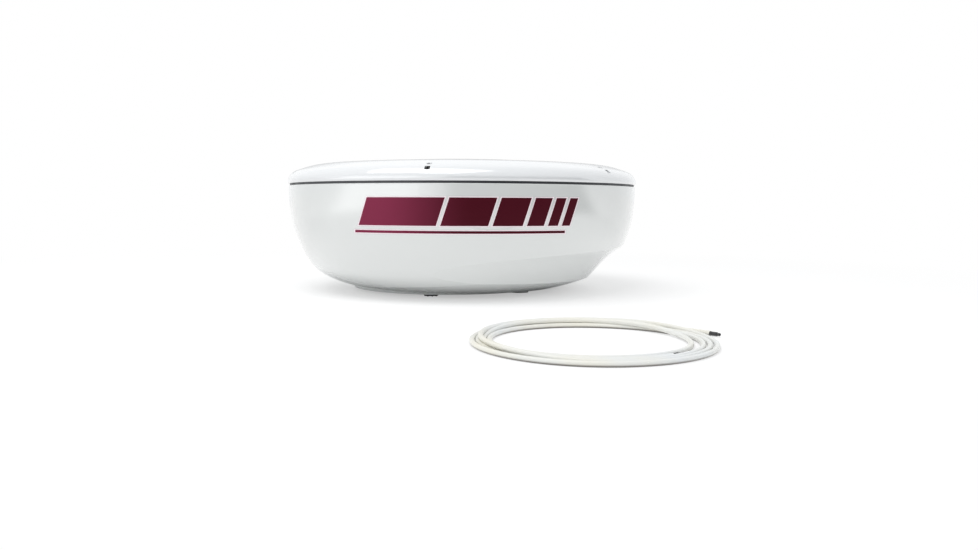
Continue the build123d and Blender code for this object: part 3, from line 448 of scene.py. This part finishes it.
room = bpy.data.worlds.new("room")
room.use_nodes = True
bpy.context.scene.world = room
sky = room.node_tree
backdrop = sky.nodes["Background"]
backdrop.inputs["Color"].default_value = (1, 1, 1, 1)
backdrop.inputs["Strength"].default_value = 1.0
facing = sky.nodes.new("ShaderNodeTexCoord")
apart = sky.nodes.new("ShaderNodeSeparateXYZ")
sky.links.new(facing.outputs["Generated"], apart.inputs["Vector"])
sky_round = sky.nodes.new("ShaderNodeGroup")
sky_round.node_tree = around
sky.links.new(facing.outputs["Generated"], sky_round.inputs["Direction"])
high_share = faded(sky, apart.outputs["Z"], 0.12, 0.45, 0.0, 1.0)
room_light = sky.nodes.new("ShaderNodeBackground")
room_light.inputs["Color"].default_value = (0.98, 0.99, 1.0, 1)
sky.links.new(blend_values(sky, high_share, sky_round.outputs["Light"], 1.1),
              room_light.inputs["Strength"])
even_light = sky.nodes.new("ShaderNodeBackground")
even_light.inputs["Color"].default_value = (0.98, 0.99, 1.0, 1)
even_light.inputs["Strength"].default_value = 0.8
ray = sky.nodes.new("ShaderNodeLightPath")
by_gloss = sky.nodes.new("ShaderNodeMixShader")
by_camera = sky.nodes.new("ShaderNodeMixShader")
sky.links.new(ray.outputs["Is Glossy Ray"], by_gloss.inputs["Fac"])
sky.links.new(even_light.outputs["Background"], by_gloss.inputs[1])
sky.links.new(room_light.outputs["Background"], by_gloss.inputs[2])
sky.links.new(ray.outputs["Is Camera Ray"], by_camera.inputs["Fac"])
sky.links.new(by_gloss.outputs["Shader"], by_camera.inputs[1])
sky.links.new(backdrop.outputs["Background"], by_camera.inputs[2])
sky.links.new(by_camera.outputs["Shader"], sky.nodes["World Output"].inputs["Surface"])

overhead = bpy.data.lights.new("overhead_box", "AREA")
overhead.shape = "RECTANGLE"
overhead.size, overhead.size_y = 2.2, 1.6
overhead.energy = 34
overhead_box = bpy.data.objects.new("overhead_box", overhead)
bpy.context.scene.collection.objects.link(overhead_box)
overhead_box.location = (-0.5, -0.9, 2.3)
overhead_box.rotation_euler = (Vector((0, 0, 0.2)) - overhead_box.location).to_track_quat(
    "-Z", "Y").to_euler()


# ---- Gelcoat shells -----------------------------------------------------------------------
# Bowl and lid are laid up in white gelcoat and polished. The skin keeps a faint waviness from
# the mould and a slightly uneven gloss.
bowl_gelcoat = finish("bowl_gelcoat", (0.625, 0.64, 0.632), (0.585, 0.603, 0.597), (0.16, 0.24), 9.0,
                      0.0008, tint_scale=4.0, rough_scale=14.0, Coat_Weight=1.0,
                      Coat_Roughness=0.06, Coat_IOR=1.7)
# Painted light: bowl and lid are one white gelcoat, but the lid's copy is painted lighter than the
# bowl's, for the top that faces the soft box.
lid_gelcoat = finish("lid_gelcoat", (0.68, 0.69, 0.70), (0.64, 0.654, 0.668), (0.14, 0.22), 9.0,
                     0.0006, tint_scale=4.0, rough_scale=14.0, Coat_Weight=1.0,
                     Coat_Roughness=0.06, Coat_IOR=1.7)
wear("base_casing", bowl_gelcoat)
wear("lid_casing", lid_gelcoat)


# ---- Rim beads ----------------------------------------------------------------------------
# Both shells end in a small rolled bead at the seam, left by trimming the gelcoat, so the dark
# gasket line has a thin bright edge above and below. Each is a round rod laid along its rim.
def ring_of_rod(name, radius, height, thickness, body, material):
    bead = bpy.data.meshes.new(name)
    shape = bmesh.new()
    around_steps, rod_steps = 240, 8
    loops = []
    for step in range(around_steps):
        turn = 2 * pi * step / around_steps
        loop = []
        for side in range(rod_steps):
            tilt = 2 * pi * side / rod_steps
            reach = radius + thickness * cos(tilt)
            loop.append(shape.verts.new((reach * cos(turn), reach * sin(turn),
                                         height + thickness * sin(tilt))))
        loops.append(loop)
    for step in range(around_steps):
        here, there = loops[step], loops[(step + 1) % around_steps]
        for side in range(rod_steps):
            after = (side + 1) % rod_steps
            shape.faces.new((here[side], there[side], there[after], here[after]))
    bmesh.ops.recalc_face_normals(shape, faces=shape.faces)
    for face in shape.faces:
        face.smooth = True
    shape.to_mesh(bead)
    shape.free()
    rod = bpy.data.objects.new(name, bead)
    bpy.context.scene.collection.objects.link(rod)
    bead.materials.append(material)
    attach(rod, body)
    return rod


ring_of_rod("bowl_rim_bead", 0.3254, 0.1922, 0.0008, "base", bowl_gelcoat)
ring_of_rod("lid_rim_bead", 0.3254, 0.1978, 0.0008, "lid", lid_gelcoat)


# ---- Side decal ---------------------------------------------------------------------------
# Slanted blocks and a thin line, plotted from two layers of cast vinyl: a pale film that shows
# as a fine edge all round, and a maroon one on it. The maroon is darkened towards the stern with
# painted shade.
maroon_vinyl = finish("maroon_vinyl", (0.205, 0.026, 0.062), (0.18, 0.022, 0.053), (0.34, 0.46), 300.0,
                      0.00002, tint_scale=6.0, rough_scale=40.0, Specular_IOR_Level=0.06)
maroon_tree = maroon_vinyl.node_tree
along_hull = maroon_tree.nodes.new("ShaderNodeSeparateXYZ")
maroon_place = maroon_tree.nodes.new("ShaderNodeTexCoord")
maroon_tree.links.new(maroon_place.outputs["Object"], along_hull.inputs["Vector"])
# Painted shade: the maroon is mixed towards a near black-red from 9 cm before the middle to 7.5 cm
# past it, towards +X.
stern_shade = maroon_tree.nodes.new("ShaderNodeMix")
stern_shade.data_type = "RGBA"
stern_shade.inputs["B"].default_value = (0.055, 0.003, 0.009, 1)
maroon_shader = maroon_tree.nodes["Principled BSDF"]
maroon_tree.links.new(maroon_shader.inputs["Base Color"].links[0].from_socket, stern_shade.inputs["A"])
maroon_tree.links.new(faded(maroon_tree, along_hull.outputs["X"], -0.09, 0.075, 0.0, 1.0),
                      stern_shade.inputs["Factor"])
maroon_tree.links.new(stern_shade.outputs["Result"], maroon_shader.inputs["Base Color"])
pale_vinyl = finish("pale_vinyl", (0.84, 0.72, 0.76), (0.78, 0.66, 0.70), (0.25, 0.36), 300.0,
                    0.00002, rough_scale=40.0)
wear("side_decal", maroon_vinyl)
wear("decal_backing", pale_vinyl)


# ---- Seam gasket and other rubber ---------------------------------------------------------
# A flat ring cut from black sponge rubber lies between the shells. Its skin is dull and has
# picked up a little pale dust; the socket's seal is of the same rubber, and the toothed belt of a
# denser one.
rubber = finish("seal_rubber", (0.016, 0.018, 0.023), (0.035, 0.037, 0.042), (0.38, 0.6), 900.0,
                0.00015, tint_scale=30.0, rough_scale=60.0)
belt_rubber = finish("belt_rubber", (0.012, 0.012, 0.013), (0.022, 0.022, 0.023), (0.45, 0.65), 1500.0,
                     0.0001, tint_scale=50.0, rough_scale=90.0)
for piece in ("seam_gasket", "socket_seal"):
    wear(piece, rubber)
wear("drive_belt", belt_rubber)


# ---- Black mouldings ----------------------------------------------------------------------
# Vent, sensor, end caps and screw retainers are moulded in the same black nylon as the cable's
# plugs, and share their fine matt grain.
for piece in ("breather_vent", "index_sensor", "array_end_caps", "screw_retainers"):
    wear(piece, black_moulding)


# ---- Metals -------------------------------------------------------------------------------
# Machined faces keep fine tool lines, castings a coarse bright skin and sheet a rolled grain.
# The lines are a stretched noise, spaced for each metal and pressed into the surface.
tooled, tooled_in, tooled_out = shade_group(
    "tooled", [("Across", 30.0), ("Along", 1200.0), ("Depth", 0.00005)],
    ("Normal", "NodeSocketVector"))
place = tooled.nodes.new("ShaderNodeTexCoord")
stretch = tooled.nodes.new("ShaderNodeCombineXYZ")
pulled = tooled.nodes.new("ShaderNodeVectorMath")
pulled.operation = "MULTIPLY"
lines = tooled.nodes.new("ShaderNodeTexNoise")
lines.inputs["Scale"].default_value = 1.0
lines.inputs["Detail"].default_value = 3
pressed = tooled.nodes.new("ShaderNodeBump")
tooled.links.new(tooled_in.outputs["Across"], stretch.inputs["X"])
tooled.links.new(tooled_in.outputs["Along"], stretch.inputs["Y"])
tooled.links.new(tooled_in.outputs["Along"], stretch.inputs["Z"])
tooled.links.new(place.outputs["Object"], pulled.inputs[0])
tooled.links.new(stretch.outputs["Vector"], pulled.inputs[1])
tooled.links.new(pulled.outputs["Vector"], lines.inputs["Vector"])
tooled.links.new(lines.outputs["Fac"], pressed.inputs["Height"])
tooled.links.new(tooled_in.outputs["Depth"], pressed.inputs["Distance"])
tooled.links.new(pressed.outputs["Normal"], tooled_out.inputs["Normal"])


def metal(name, one, other, rough, tool=None, **more):
    """A metal finish; tool gives the lines' spacing across and along, and their depth."""
    made = finish(name, one, other, rough, more.pop("grain", 700.0), more.pop("depth", 0.00006),
                  Metallic=1.0, **more)
    if tool:
        tree = made.node_tree
        lined = put(tree, tooled, Across=tool[0], Along=tool[1], Depth=tool[2])
        tree.links.new(lined.outputs["Normal"], tree.nodes["Principled BSDF"].inputs["Normal"])
    return made


cast_aluminium = metal("cast_aluminium", (0.60, 0.61, 0.62), (0.50, 0.51, 0.525), (0.38, 0.55),
                       grain=900.0, depth=0.0002)
sheet_aluminium = metal("sheet_aluminium", (0.74, 0.75, 0.76), (0.66, 0.67, 0.68), (0.24, 0.38),
                        tool=(18.0, 1400.0, 0.00004))
guide_aluminium = metal("guide_aluminium", (0.70, 0.62, 0.36), (0.62, 0.58, 0.40), (0.28, 0.42),
                        tool=(18.0, 1200.0, 0.00004), tint_scale=22.0)
bright_steel = metal("bright_steel", (0.74, 0.745, 0.76), (0.68, 0.685, 0.70), (0.08, 0.16),
                     tool=(40.0, 2500.0, 0.00001))
zinc = metal("zinc_screws", (0.62, 0.63, 0.60), (0.66, 0.62, 0.50), (0.26, 0.42), tint_scale=180.0)
brass = metal("insert_brass", (0.78, 0.56, 0.24), (0.68, 0.46, 0.20), (0.2, 0.34),
              tool=(40.0, 1800.0, 0.00002))
nickel = metal("plated_socket", (0.70, 0.68, 0.63), (0.64, 0.62, 0.58), (0.14, 0.26),
               tool=(40.0, 1600.0, 0.00002))
black_screws = metal("screw_steel", (0.07, 0.07, 0.075), (0.14, 0.135, 0.13), (0.3, 0.46),
                     tint_scale=160.0)
for material, pieces in (
        (cast_aluminium, ("bearing_housing", "circulator", "rotor_spindle", "driven_pulley",
                          "array_housing", "motor_pulley")),
        (sheet_aluminium, ("chassis_plate", "motor_bridge", "receiver_module", "modulator_box",
                           "antenna_bracket")),
        (guide_aluminium, ("waveguide_run", "slotted_guide", "feed_transition")),
        (bright_steel, ("bearing_outer_races", "bearing_inner_races", "bearing_balls",
                        "index_magnet", "motor_shaft")),
        (zinc, ("chassis_screws", "housing_screws", "bearing_retainer", "motor_screws",
                "rotor_bolts", "lid_washers")),
        (brass, ("mount_inserts", "lid_inserts", "socket_contacts", "board_standoffs")),
        (nickel, ("cable_socket", "socket_nut")),
        (black_screws, ("lid_screws",))):
    for piece in pieces:
        wear(piece, material)


# ---- Motor, magnetron and magnet ----------------------------------------------------------
# The stepper motor is dipped in satin black, the magnetron has a copper-red heat lacquer, and
# its clamp magnet is sprayed with grey hammer paint that gathers into soft dimples.
motor_paint = finish("motor_paint", (0.02, 0.02, 0.022), (0.03, 0.03, 0.032), (0.28, 0.42), 500.0,
                     0.00012, Coat_Weight=0.2)
magnetron_lacquer = finish("magnetron_lacquer", (0.42, 0.10, 0.05), (0.30, 0.07, 0.04), (0.2, 0.4),
                           260.0, 0.0001, Metallic=0.55, Coat_Weight=0.4)
hammer_paint = finish("magnet_paint", (0.13, 0.135, 0.15), (0.08, 0.085, 0.095), (0.25, 0.4), 240.0,
                      0.0006, tint_scale=120.0, Coat_Weight=0.4)
wear("drive_motor", motor_paint)
wear("magnetron", magnetron_lacquer)
wear("magnetron_magnet", hammer_paint)


# ---- Control board ------------------------------------------------------------------------
# A green epoxy laminate, hung face up under the chassis. Copper runs show as lighter lines
# under the resist, laid out on a square grid; chips, capacitors and headers are soldered on.
tracks, tracks_in, tracks_out = shade_group(
    "tracks", [("Pitch", 0.0025), ("Width", 0.35)], ("Mask", "NodeSocketFloat"))
place = tracks.nodes.new("ShaderNodeTexCoord")
cells = tracks.nodes.new("ShaderNodeTexVoronoi")
cells.distance = "CHEBYCHEV"
cells.feature = "F1"
per_metre = tracks.nodes.new("ShaderNodeMath")
per_metre.operation = "DIVIDE"
per_metre.inputs[0].default_value = 1.0
thin = tracks.nodes.new("ShaderNodeMath")
thin.operation = "GREATER_THAN"
tracks.links.new(place.outputs["Object"], cells.inputs["Vector"])
tracks.links.new(tracks_in.outputs["Pitch"], per_metre.inputs[1])
tracks.links.new(per_metre.outputs[0], cells.inputs["Scale"])
tracks.links.new(cells.outputs["Distance"], thin.inputs[0])
tracks.links.new(tracks_in.outputs["Width"], thin.inputs[1])
tracks.links.new(thin.outputs[0], tracks_out.inputs["Mask"])
laminate = finish("board_laminate", (0.012, 0.11, 0.05), (0.016, 0.13, 0.06), (0.2, 0.32), 900.0,
                  0.00003, Coat_Weight=0.5)
laminate_tree = laminate.node_tree
copper_mask = put(laminate_tree, tracks, Pitch=0.004, Width=0.36)
printed = laminate_tree.nodes.new("ShaderNodeMix")
printed.data_type = "RGBA"
printed.inputs["B"].default_value = (0.05, 0.26, 0.11, 1)
board_shader = laminate_tree.nodes["Principled BSDF"]
laminate_tree.links.new(board_shader.inputs["Base Color"].links[0].from_socket,
                        printed.inputs["A"])
laminate_tree.links.new(copper_mask.outputs["Mask"], printed.inputs["Factor"])
laminate_tree.links.new(printed.outputs["Result"], board_shader.inputs["Base Color"])
chip_epoxy = finish("chip_epoxy", (0.02, 0.02, 0.022), (0.03, 0.03, 0.031), (0.45, 0.6), 1500.0,
                    0.00008)
sleeve = finish("capacitor_sleeve", (0.03, 0.045, 0.14), (0.04, 0.06, 0.18), (0.25, 0.35), 300.0,
                0.00005)
nylon = finish("connector_nylon", (0.72, 0.69, 0.58), (0.66, 0.63, 0.52), (0.35, 0.5), 500.0,
               0.00005, Subsurface_Weight=0.1)
wear("control_board", laminate)
wear("board_chips", chip_epoxy)
wear("board_capacitors", sleeve)
wear("board_connectors", nylon)


# ---- Array window and looms ---------------------------------------------------------------
# The array's front is a curved strip of off-white glass laminate whose weave just shows. The
# looms are a bundle of leads in a braided black sleeve.
window = finish("array_window", (0.70, 0.68, 0.60), (0.64, 0.62, 0.55), (0.32, 0.46), 800.0,
                0.00006, tint_scale=60.0)
weave_tree = window.node_tree
weave_place = weave_tree.nodes.new("ShaderNodeTexCoord")
weave_waves = weave_tree.nodes.new("ShaderNodeTexChecker")
weave_waves.inputs["Scale"].default_value = 420.0
weave_bump = weave_tree.nodes.new("ShaderNodeBump")
weave_bump.inputs["Distance"].default_value = 0.00004
weave_tree.links.new(weave_place.outputs["Object"], weave_waves.inputs["Vector"])
weave_tree.links.new(weave_waves.outputs["Fac"], weave_bump.inputs["Height"])
weave_tree.links.new(weave_bump.outputs["Normal"],
                     weave_tree.nodes["Principled BSDF"].inputs["Normal"])
braid = finish("loom_jacket", (0.02, 0.02, 0.022), (0.05, 0.05, 0.052), (0.5, 0.7), 1200.0, 0.0004,
               tint_scale=900.0)
wear("array_cover", window)
for piece in ("power_loom", "signal_loom"):
    wear(piece, braid)


# ---- Lid ribs and vent ribs ---------------------------------------------------------------
# Twelve shallow ribs are laid up inside the lid to stop it drumming, and the vent's cap has a
# ring of spacers so that it still breathes on a flat deck. One is made and set round a centre.
def tree_step(tree, kind, **values):
    """A node in a geometry tree, with its named inputs set."""
    node = tree.nodes.new(kind)
    for label, value in values.items():
        node.inputs[label.replace("_", " ")].default_value = value
    return node


def new_tree(name, *inputs):
    tree = bpy.data.node_groups.new(name, "GeometryNodeTree")
    tree.interface.new_socket("Piece", in_out="INPUT", socket_type="NodeSocketGeometry")
    for label, kind in inputs:
        tree.interface.new_socket(label, in_out="INPUT", socket_type=kind)
    tree.interface.new_socket("Pieces", in_out="OUTPUT", socket_type="NodeSocketGeometry")
    return tree, tree.nodes.new("NodeGroupInput"), tree.nodes.new("NodeGroupOutput")


def close_tree(tree, given, taken, instances):
    """Ends a tree: every copy becomes real mesh and takes the finish."""
    real = tree_step(tree, "GeometryNodeRealizeInstances")
    dressed = tree_step(tree, "GeometryNodeSetMaterial")
    tree.links.new(instances, real.inputs["Geometry"])
    tree.links.new(real.outputs["Geometry"], dressed.inputs["Geometry"])
    tree.links.new(given.outputs["Finish"], dressed.inputs["Material"])
    tree.links.new(dressed.outputs["Geometry"], taken.inputs["Pieces"])


set_round, round_in, round_out = new_tree(
    "set_round", ("Count", "NodeSocketInt"), ("Start", "NodeSocketFloat"),
    ("Centre", "NodeSocketVector"), ("Finish", "NodeSocketMaterial"))
dots = tree_step(set_round, "GeometryNodePoints")
number = tree_step(set_round, "GeometryNodeInputIndex")
share = tree_step(set_round, "ShaderNodeMath")
share.operation = "DIVIDE"
turn = tree_step(set_round, "ShaderNodeMath")
turn.operation = "MULTIPLY_ADD"
turn.inputs[1].default_value = 2 * pi
about_z = tree_step(set_round, "ShaderNodeCombineXYZ")
copies = tree_step(set_round, "GeometryNodeInstanceOnPoints")
set_round.links.new(round_in.outputs["Count"], dots.inputs["Count"])
set_round.links.new(round_in.outputs["Centre"], dots.inputs["Position"])
set_round.links.new(number.outputs["Index"], share.inputs[0])
set_round.links.new(round_in.outputs["Count"], share.inputs[1])
set_round.links.new(share.outputs[0], turn.inputs[0])
set_round.links.new(round_in.outputs["Start"], turn.inputs[2])
set_round.links.new(turn.outputs[0], about_z.inputs["Z"])
set_round.links.new(dots.outputs["Points"], copies.inputs["Points"])
set_round.links.new(round_in.outputs["Piece"], copies.inputs["Instance"])
set_round.links.new(about_z.outputs["Vector"], copies.inputs["Rotation"])
close_tree(set_round, round_in, round_out, copies.outputs["Instances"])


def set_out(name, shape, tree, body, slot, **sizes):
    """Runs a tree on one small piece, keeps the plain mesh and fixes it to its body."""
    one = bpy.data.meshes.new(name)
    shape.to_mesh(one)
    shape.free()
    held = bpy.data.objects.new(name, one)
    bpy.context.scene.collection.objects.link(held)
    maker = held.modifiers.new("maker", "NODES")
    maker.node_group = tree
    for socket in tree.interface.items_tree:
        if socket.in_out == "INPUT" and socket.name in sizes:
            maker[socket.identifier] = sizes[socket.name]
    made = bpy.data.meshes.new_from_object(
        held.evaluated_get(bpy.context.evaluated_depsgraph_get()))
    held.modifiers.remove(maker)
    held.data = made
    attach(held, body)
    return held


def prism(outline, low, high, axis="Z"):
    """A flat outline given as (a, b) pairs, made into a solid between two heights."""
    solid = bmesh.new()
    spun = {"Z": lambda a, b, h: (a, b, h), "Y": lambda a, b, h: (a, h, b)}[axis]
    bottom = [solid.verts.new(spun(a, b, low)) for a, b in outline]
    top = [solid.verts.new(spun(a, b, high)) for a, b in outline]
    solid.faces.new(bottom)
    solid.faces.new(top)
    for k in range(len(outline)):
        after = (k + 1) % len(outline)
        solid.faces.new((bottom[k], bottom[after], top[after], top[k]))
    bmesh.ops.recalc_face_normals(solid, faces=solid.faces)
    return solid


lid_underside = [(0.066, 0.2376), (0.110, 0.2368), (0.150, 0.2354), (0.200, 0.2328),
                 (0.240, 0.2299), (0.272, 0.2268)]
rib_depth = 0.006
lid_rib = prism([(r, z + 0.0006) for r, z in lid_underside]
                + [(r, z - rib_depth) for r, z in reversed(lid_underside)],
                -0.0015, 0.0015, axis="Y")
set_out("lid_ribs", lid_rib, set_round, "lid", "lid_gelcoat", Count=12, Start=radians(15),
        Finish=lid_gelcoat)
vent_spacer = prism([(0.0085, -0.0008), (0.0118, -0.0011), (0.0118, 0.0011), (0.0085, 0.0008)],
                    0.0002, 0.0012)
set_out("vent_spacers", vent_spacer, set_round, "base", "black_moulding", Count=8,
        Start=radians(22.5), Centre=(-0.0275, -0.163, 0), Finish=black_moulding)


# ---- Bearing housing webs and plate fasteners ---------------------------------------------
# The casting has four webs from its foot up the barrel, between the screws. The plate carries a
# ring of pressed-in clinch studs, whose flush round heads are seen from above.
web = prism([(0.0305, 0.074), (0.0438, 0.074), (0.0438, 0.0765), (0.033, 0.098), (0.0305, 0.098)],
            -0.002, 0.002, axis="Y")
set_out("housing_webs", web, set_round, "base", "cast_aluminium", Count=4, Finish=cast_aluminium)


def button(radius, height, sides, out_to=0.0, recess=0.0):
    """A low round head with a softened edge and, where recess is given, a socket in its top."""
    head = bmesh.new()
    levels = [(radius, 0.0), (radius, height * 0.55), (radius * 0.8, height)]
    if recess:
        levels += [(radius * 0.45, height), (radius * 0.42, height - recess)]
    rings = [[head.verts.new((out_to + reach * cos(2 * pi * k / sides),
                              reach * sin(2 * pi * k / sides), level)) for k in range(sides)]
             for reach, level in levels]
    for low, high in zip(rings, rings[1:]):
        for k in range(sides):
            head.faces.new((low[k], low[(k + 1) % sides], high[(k + 1) % sides], high[k]))
    head.faces.new(rings[-1])
    head.faces.new(list(reversed(rings[0])))
    bmesh.ops.recalc_face_normals(head, faces=head.faces)
    return head


set_out("clinch_studs", button(0.0035, 0.0008, 20, out_to=0.222), set_round, "base", "zinc_screws",
        Count=20, Start=radians(9), Centre=(0, 0, 0.068), Finish=zinc)


# ---- Rows: cover screws, rivets and belt teeth --------------------------------------------
# Lids are held by rows of small screws, the array by a row of rivets along its top, and the
# belt has moulded teeth, which show on its two free runs. One is made and set out along lines.
set_along, along_in, along_out = new_tree(
    "set_along", ("Lines", "NodeSocketObject"), ("Count", "NodeSocketInt"),
    ("Finish", "NodeSocketMaterial"))
lines_in = tree_step(set_along, "GeometryNodeObjectInfo")
as_curves = tree_step(set_along, "GeometryNodeMeshToCurve")
places = tree_step(set_along, "GeometryNodeCurveToPoints")
copies = tree_step(set_along, "GeometryNodeInstanceOnPoints")
set_along.links.new(along_in.outputs["Lines"], lines_in.inputs["Object"])
set_along.links.new(lines_in.outputs["Geometry"], as_curves.inputs["Mesh"])
set_along.links.new(as_curves.outputs["Curve"], places.inputs["Curve"])
set_along.links.new(along_in.outputs["Count"], places.inputs["Count"])
set_along.links.new(places.outputs["Points"], copies.inputs["Points"])
set_along.links.new(places.outputs["Rotation"], copies.inputs["Rotation"])
set_along.links.new(along_in.outputs["Piece"], copies.inputs["Instance"])
close_tree(set_along, along_in, along_out, copies.outputs["Instances"])


def rows(name, shape, count, lines, body, slot, material):
    """Sets count copies out along each line; lines is a list of (start, end) in millimetres."""
    guide = bpy.data.meshes.new("guide")
    guide.from_pydata([tuple(v / 1000 for v in end) for line in lines for end in line],
                      [(2 * k, 2 * k + 1) for k in range(len(lines))], [])
    held = bpy.data.objects.new("guide", guide)
    bpy.context.scene.collection.objects.link(held)
    made = set_out(name, shape, set_along, body, slot, Lines=held, Count=count, Finish=material)
    bpy.data.objects.remove(held)
    return made


upright = Matrix.Rotation(radians(90), 4, "X")


def stood_up(shape):
    """Turns a head made facing up, so that it faces up again once it is set on a level line."""
    shape.transform(upright)
    return shape


rows("modulator_screws", stood_up(button(0.0026, 0.0018, 18, recess=0.0011)), 4,
     [((-68, 91.5, 118), (38, 91.5, 118)), ((-68, 168.5, 118), (38, 168.5, 118))],
     "base", "zinc_screws", zinc)
rows("receiver_screws", stood_up(button(0.002, 0.0015, 18, recess=0.0009)), 5,
     [((91, -29, 92), (141, -29, 92)), ((91, -87, 92), (141, -87, 92))],
     "base", "zinc_screws", zinc)
rows("array_rivets", stood_up(button(0.002, 0.0008, 14)), 22,
     [((8, -262, 200), (8, 262, 200))], "antenna", "cast_aluminium", cast_aluminium)

# The belt's runs touch both pulleys' pitch circles, so they lean by the difference of the radii
motor_x, motor_y, belt_height = -80, -104, 126
driven_reach, motor_reach, shaft_gap = 57.6, 11.76, sqrt(motor_x ** 2 + motor_y ** 2)
run_bearing = atan2(motor_y, motor_x)
lean = atan2(driven_reach - motor_reach, sqrt(shaft_gap ** 2 - (driven_reach - motor_reach) ** 2))
runs = []
for side in (1, -1):
    out = run_bearing + side * (pi / 2 - lean)
    runs.append(((driven_reach * cos(out), driven_reach * sin(out), belt_height),
                 (motor_x + motor_reach * cos(out), motor_y + motor_reach * sin(out), belt_height)))
tooth = prism([(-0.0009, -0.0045), (0.0009, -0.0045), (0.0009, 0.0045), (-0.0009, 0.0045)],
              -0.0007, 0.0007)
rows("belt_teeth", tooth, 41, runs, "base", "belt_rubber", belt_rubber)
